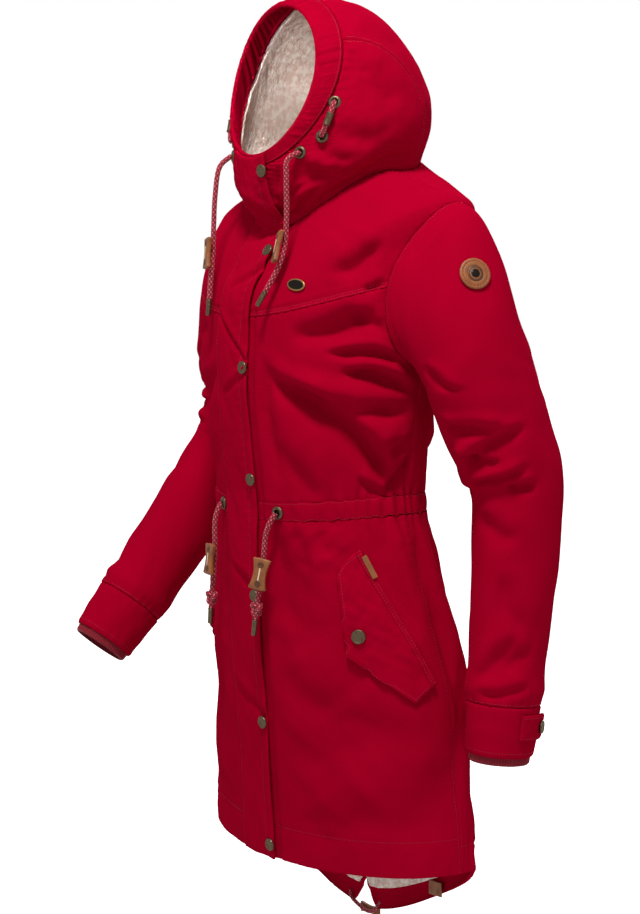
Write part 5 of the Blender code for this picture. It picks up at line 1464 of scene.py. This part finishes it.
TOGGLE_HOLE = ((0.0, 0.0003), (0.0020, 0.0003), (0.0026, 0.0007), (0.0033, 0.0006), (0.0035, 0.0001),
               (0.0, 0.0001))
TOGGLE_LINE = ((-0.0008, -0.0068), (0.0, -0.0074), (0.0008, -0.0068), (0.0008, 0.0068), (0.0, 0.0074),
               (-0.0008, 0.0068))
TIP_START = ((0.0, 0.0), (0.0026, 0.0), (0.0032, -0.0006), (0.0033, -0.0016), (0.0029, -0.0024),
             (0.0029, -0.006), (0.0031, -0.0066), (0.0029, -0.0072))
CORD_PIECES = {}
for name in ("hood_left", "hood_right", "waist_left", "waist_right"):
    place = frame_of(f"toggle_{name}", (0, -1, 0))
    pieces = [rounded_plate(f"toggle {name.replace('_', ' ')}", bone(0.0104, 0.0074, 0.0166), 0.0048, 0.0012,
                            leather, place, [f"toggle_{name}"], 0.0006)]
    # Each hole is a dark leather disc inside a raised rim: painted shade where the opening is.
    for word, offset in (("low", -0.0105), ("high", 0.0105)):
        pieces.append(spun(f"toggle hole {name} {word}", TOGGLE_HOLE, 24, dark_leather_and_hole_shade,
                           raised(place, 0, offset, 0.0024)))
    pieces.append(rounded_plate(f"toggle line {name}", TOGGLE_LINE, 0.0006, 0.0002, pale_thread,
                                raised(place, 0, 0, 0.0029)))
    points = node_points(f"tip_{name}")
    axis = main_axes(points, points.mean(0))[:, 2]
    axis = axis if axis[2] > 0 else -axis
    heights = (points - points.mean(0)) @ axis
    top = points.mean(0) + axis * heights.max()
    length = heights.max() - heights.min()
    profile = TIP_START + ((0.0028, -length + 0.0012), (0.0024, -length + 0.0002), (0.0, -length))
    pieces.append(spun(f"tip {name.replace('_', ' ')}", profile, 28, brass, standing(top, axis, (0, 1, 0)),
                       [f"tip_{name}"]))
    CORD_PIECES[name] = pieces


# ------------------------------------------------------------------ cords
CORDS = {
    "hood_left": ((0.0665, -0.1060, 0.0100), (0.0660, -0.1070, -0.0120),
                  (0.0650, -0.1060, -0.0450), (0.0640, -0.1075, -0.0780), (0.0655, -0.1165, -0.1030),
                  (0.0600, -0.1306, -0.1310)),
    "hood_right": ((-0.0650, -0.1075, 0.0050), (-0.0625, -0.1150, -0.0270),
                   (-0.0595, -0.1190, -0.0600), (-0.0545, -0.1240, -0.0950), (-0.0510, -0.1290, -0.1220),
                   (-0.0490, -0.1320, -0.1420)),
    "waist_left": ((0.0525, -0.1215, -0.3870), (0.0500, -0.1245, -0.4000),
                   (0.0470, -0.1260, -0.4300), (0.0440, -0.1290, -0.4600), (0.0415, -0.1310, -0.4800),
                   (0.0405, -0.1320, -0.4930)),
    "waist_right": ((-0.0535, -0.1215, -0.3870), (-0.0520, -0.1245, -0.4000),
                    (-0.0500, -0.1260, -0.4300), (-0.0495, -0.1290, -0.4600), (-0.0505, -0.1305, -0.4800),
                    (-0.0510, -0.1310, -0.4930)),
}
CORD_STAND = {"hood": 0.0027, "waist": 0.0040}     # first point's distance from the cloth


def smooth_route(points, spacing=ROUTE_STEP):
    """Evenly spaced points on a smooth curve through some points."""
    rows = [("", *p) for p in points]
    fine = between_rows(rows, np.linspace(0, len(rows) - 1, 40 * len(rows))).T
    length = np.concatenate([[0], np.cumsum(np.linalg.norm(np.diff(fine, axis=0), axis=1))])
    count = max(3, int(round(length[-1] / spacing)) + 1)
    marks = np.linspace(0, length[-1], count)
    return np.stack([np.interp(marks, length, fine[:, i]) for i in range(3)], axis=-1)


def run_length(path):
    return float(np.linalg.norm(np.diff(path, axis=0), axis=1).sum())


def cord_route(name):
    """Points of a cord, from where it leaves its eyelet."""
    side = LEFT if name.endswith("left") else RIGHT
    if name.startswith("hood"):
        angle, level = np.array(side * CORD_EXIT[0]), np.array(CORD_EXIT[1])
        start, normal = hood(angle, level), hood_out(angle, level)
    else:
        level = np.array(float(WAIST_LEVEL))
        angle = front_angle(side * EYELET_X, level)
        start, normal = body(angle, level), outward(plain_body, angle, level)
    return [start + normal * CORD_STAND[name.split("_")[0]]] + [np.array(p) for p in CORDS[name]]


def braided(name, path, radius, nodes=(), closed=False):
    """Braided tube: strands of two turns crossing raise its surface."""
    around = np.linspace(0, 1, 29)[:-1]
    run = unit(np.gradient(path, axis=0))
    side = unit(np.cross(run, np.array([0.3, 0.2, 0.9] if abs(run[0, 2]) < 0.9 else [0.9, 0.3, 0.1])))
    third = np.cross(run, side)
    length = np.concatenate([[0], np.cumsum(np.linalg.norm(np.diff(path, axis=0), axis=1))])
    u, v = np.meshgrid(around, length)
    a = TURN * (CORD_STRANDS * u + CORD_PITCH * v)
    b = TURN * (CORD_STRANDS * u - CORD_PITCH * v)
    size = radius * (0.955 + 0.055 * np.maximum(np.sin(a), np.sin(b)))
    c, s = np.cos(TURN * u)[..., None], np.sin(TURN * u)[..., None]
    points = path[:, None] + (side[:, None] * c + third[:, None] * s) * size[..., None]
    rows, columns = points.shape[:2]
    faces = grid_faces(rows, columns, True, False).tolist()
    flat = points.reshape(-1, 3)
    uv = np.stack([u, v], -1).reshape(-1, 2)
    if not closed:
        flat = np.concatenate([flat, path[:1], path[-1:]])
        uv = np.concatenate([uv, uv[:1], uv[-1:]])
        n = rows * columns
        last = (rows - 1) * columns
        faces += [(i, (i + 1) % columns, n) for i in range(columns)]
        faces += [(last + (i + 1) % columns, last + i, n + 1) for i in range(columns)]
    thing = put_mesh(name, flat, faces, braid, uv)
    if nodes:
        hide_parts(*nodes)
    return thing


def knot_path(centre, size, tilt=0.4):
    """Middle line of a simple overhand knot."""
    t = np.linspace(0, TURN, 120)
    x = (np.sin(t) + 2 * np.sin(2 * t)) / 3
    y = (np.cos(t) - 2 * np.cos(2 * t)) / 3
    z = -np.sin(3 * t) / 2.2
    shape = np.stack([x * size, z * size * 0.9, y * size * 1.15], -1)
    turn = np.array(Matrix.Rotation(tilt, 3, "Z"))
    return shape @ turn.T + centre


for name in CORDS:
    route = smooth_route(cord_route(name))
    total = run_length(route)
    thing = braided(f"cord {name.replace('_', ' ')}", route, CORD_RADIUS, [f"cord_{name}"])
    if name.startswith("waist"):
        where = route[int(len(route) * 0.90)]
        CORD_PIECES[name].append(braided(f"knot {name.replace('_', ' ')}", knot_path(where, 0.0060),
                                         CORD_RADIUS * 0.9, closed=True))

BEAD_PROFILE = ((0.0032, 0.0070), (0.0042, 0.0070), (0.0044, 0.0062), (0.0040, 0.0054),
                (0.0040, -0.0054), (0.0044, -0.0062), (0.0042, -0.0070), (0.0032, -0.0070))
for side in (LEFT, RIGHT):
    points = []
    for t, rise in ((0, 0.0032), (0.12, 0.0052), (0.5, 0.0066), (0.88, 0.0052), (1, 0.0032)):
        angle = side * (LOOP_TOP[0] + (LOOP_FOOT[0] - LOOP_TOP[0]) * t)
        level = LOOP_TOP[1] + (LOOP_FOOT[1] - LOOP_TOP[1]) * t
        points.append(hood(np.array(angle), np.array(level), rise))
    path = smooth_route(points)
    loop = braided(f"hood loop {WORD[side]}", path, CORD_RADIUS, [f"hood_loop_{WORD[side]}"])
    total = run_length(path)
    middle = path[len(path) // 2]
    run = unit(path[len(path) // 2 + 3] - path[len(path) // 2 - 3])
    if run[2] < 0:
        run = -run
    spun(f"hood bead {WORD[side]}", BEAD_PROFILE, 32, brass, standing(middle, run, (0, 1, 0)))

# ------------------------------------------------------------------ badges, tags and hem toggle
BADGE_RADIUS = 0.0170
BADGE_STITCH = 0.805           # share of the badge's radius
BADGE_PROFILE = ((0.0, 0.0021), (0.30, 0.0022), (0.34, 0.0018), (0.52, 0.0018), (0.56, 0.0021),
                 (0.74, 0.0021), (0.78, 0.0017), (0.83, 0.0017), (0.87, 0.0021), (0.96, 0.0017),
                 (1.0, 0.0010), (1.0, 0.0), (0.0, 0.0))
BADGE_FIELD = ((0.36, 0.0019), (0.52, 0.0020), (0.52, 0.0015), (0.36, 0.0015))
BADGE_BOSS = ((0.0, 0.0030), (0.16, 0.0029), (0.27, 0.0025), (0.30, 0.0020), (0.0, 0.0018))
point, normal = seat_of("badge_sleeve", (0.2, 0.02))
ring = standing(point, normal)
spun("sleeve badge", scaled(BADGE_PROFILE, BADGE_RADIUS), 72, leather, ring, ["badge_sleeve"])
spun("sleeve badge field", scaled(BADGE_FIELD, BADGE_RADIUS), 64, dark_leather_and_hole_shade, ring)
spun("sleeve badge boss", scaled(BADGE_BOSS, BADGE_RADIUS), 48, dark_metal_and_hole_shade, ring)
turns = np.linspace(0, TURN, 90)
reach = BADGE_RADIUS * BADGE_STITCH
line = [list(ring @ Vector((reach * math.cos(a), reach * math.sin(a), 0.0018))) for a in turns]
stitch_row(np.array(line), np.repeat(np.array([normal]), len(turns), axis=0))
place = frame_of("badge_chest", (0.3, -1, 0))
outline = [(0.0068 * math.cos(a), 0.0122 * math.sin(a)) for a in np.linspace(0, TURN, 49)[:-1]]
rounded_plate("chest badge", outline, 0.0020, 0.0006, gilt, place, ["badge_chest"])
inner = [(x * 0.76, y * 0.84) for x, y in outline]
rounded_plate("chest badge field", inner, 0.0008, 0.0002, dark_metal_and_hole_shade, raised(place, 0, 0, 0.0010))


def bowed(x, y, swell_x, swell_y):
    """Rectangle whose sides swell a little in their middle."""
    return ((-x, -y), (0.0, -swell_y), (x, -y), (swell_x, 0.0),
            (x, y), (0.0, swell_y), (-x, y), (-swell_x, 0.0))


place = frame_of("pocket_tag", (0.8, -0.6, 0))
rounded_plate("pocket tag", bowed(0.0030, 0.0133, 0.0031, 0.0135), 0.0013, 0.0003, leather, place,
              ["pocket_tag"])
place = frame_of("hem_label", (0, -1, 0))
place[:3, 3] += HEM_LABEL_SHIFT
rounded_plate("hem label", bowed(0.0080, 0.0115, 0.0081, 0.0116), 0.0018, 0.0004, leather, place,
              ["hem_label"])
place = frame_of("hem_toggle", (0, 1, 0))
rounded_plate("hem toggle", bone(0.0062, 0.0045, 0.0166), 0.0042, 0.0010, leather, place,
              ["hem_toggle"])

gap = VENT_HALF / VENT_RADIUS
near, far = (body(np.array(BACK + way * gap), np.array(float(HEM_LEVEL))) for way in (-1, 1))
centre = node_points("hem_toggle").mean(0)
HEM_CORD = ((near, 0.006, -0.004, 0.010), (near, 0.001, -0.006, 0.002), (centre, 0.0110, -0.0052, 0.0010),
            (centre, 0.0, -0.0056, -0.0006), (centre, -0.0110, -0.0052, 0.0010), (far, -0.001, -0.006, 0.002),
            (far, -0.006, -0.004, 0.010))
hem_route = smooth_route([start + np.array(offset) for start, *offset in HEM_CORD])
hem_cord = braided("hem cord", hem_route, HEM_CORD_RADIUS)
total = run_length(hem_route)

stitching = put_mesh("stitching", STITCHES["points"], STITCHES["faces"], thread)

# ------------------------------------------------------------------ floor and light
FLOOR_HEIGHT = -1.05
FILL_LOW = 0.88
FILL_HIGH = 0.48
FLOOR_REACH = 9
floor_mesh = bpy.data.meshes.new("floor")
floor_mesh.from_pydata([(x * FLOOR_REACH, y * FLOOR_REACH, FLOOR_HEIGHT)
                        for x, y in ((-1, -1), (1, -1), (1, 1), (-1, 1))], [], [(0, 1, 2, 3)])
floor = bpy.data.objects.new("floor", floor_mesh)
bpy.context.scene.collection.objects.link(floor)
floor_material, floor_tree, floor_shader = new_material("pale floor")
floor_shader.inputs["Base Color"].default_value = (0.92, 0.92, 0.92, 1)
floor_shader.inputs["Roughness"].default_value = 0.9
floor_shader.inputs["Emission Color"].default_value = (1, 1, 1, 1)
# Painted light and shade: the floor glows white away from the coat and less under it, a painted soft shadow.
away = add_node(floor_tree, "ShaderNodeVectorMath", operation="LENGTH")
floor_tree.links.new(add_node(floor_tree, "ShaderNodeNewGeometry").outputs["Position"], away.inputs[0])
painted_floor_glow = spread(floor_tree, away.outputs["Value"], 1.08, 1.9, 0.55, 1.0)
floor_tree.links.new(painted_floor_glow, floor_shader.inputs["Emission Strength"])
floor_mesh.materials.append(floor_material)
floor.visible_diffuse = False
floor.visible_glossy = False

world = bpy.data.worlds.new("studio")
bpy.context.scene.world = world
world.use_nodes = True
sky = world.node_tree
backdrop = sky.nodes["Background"]
backdrop.inputs[0].default_value = (1, 1, 1, 1)
backdrop.inputs[1].default_value = 1.0
fill = sky.nodes.new("ShaderNodeBackground")
split = sky.nodes.new("ShaderNodeSeparateXYZ")
sky.links.new(sky.nodes.new("ShaderNodeTexCoord").outputs["Generated"], split.inputs[0])
sky.links.new(spread(sky, split.outputs[2], -0.5, 0.9, FILL_LOW, FILL_HIGH), fill.inputs[1])
choose = sky.nodes.new("ShaderNodeMixShader")
sky.links.new(sky.nodes.new("ShaderNodeLightPath").outputs["Is Camera Ray"], choose.inputs[0])
sky.links.new(fill.outputs[0], choose.inputs[1])
sky.links.new(backdrop.outputs[0], choose.inputs[2])
sky.links.new(choose.outputs[0], sky.nodes["World Output"].inputs["Surface"])


def area_light(name, direction, distance, size, power, aim=(0, 0, -0.30)):
    light = bpy.data.lights.new(name, "AREA")
    light.shape = "DISK"
    light.size = size
    light.energy = power
    thing = bpy.data.objects.new(name, light)
    thing.location = Vector(aim) + Vector(direction).normalized() * distance
    thing.rotation_euler = (Vector(aim) - thing.location).to_track_quat("-Z", "Y").to_euler()
    bpy.context.scene.collection.objects.link(thing)
    return thing


key_way = towards * 0.62 - view_right * 0.12 + Vector((0, 0, 1.0))
area_light("key", key_way, 2.2, 0.5, 49, (0, 0, -0.10))
area_light("back", (-0.75, 1.0, 0.85), 2.4, 0.7, 30)
front_light = area_light("front", (0.62, -0.78, 0.10), 1.1, 0.12, 0.048, (-0.10, 0.0, 0.10))
front_light.data.spread = math.radians(12)
bpy.context.scene.view_settings.view_transform = "Standard"
bpy.context.scene.view_settings.look = "None"
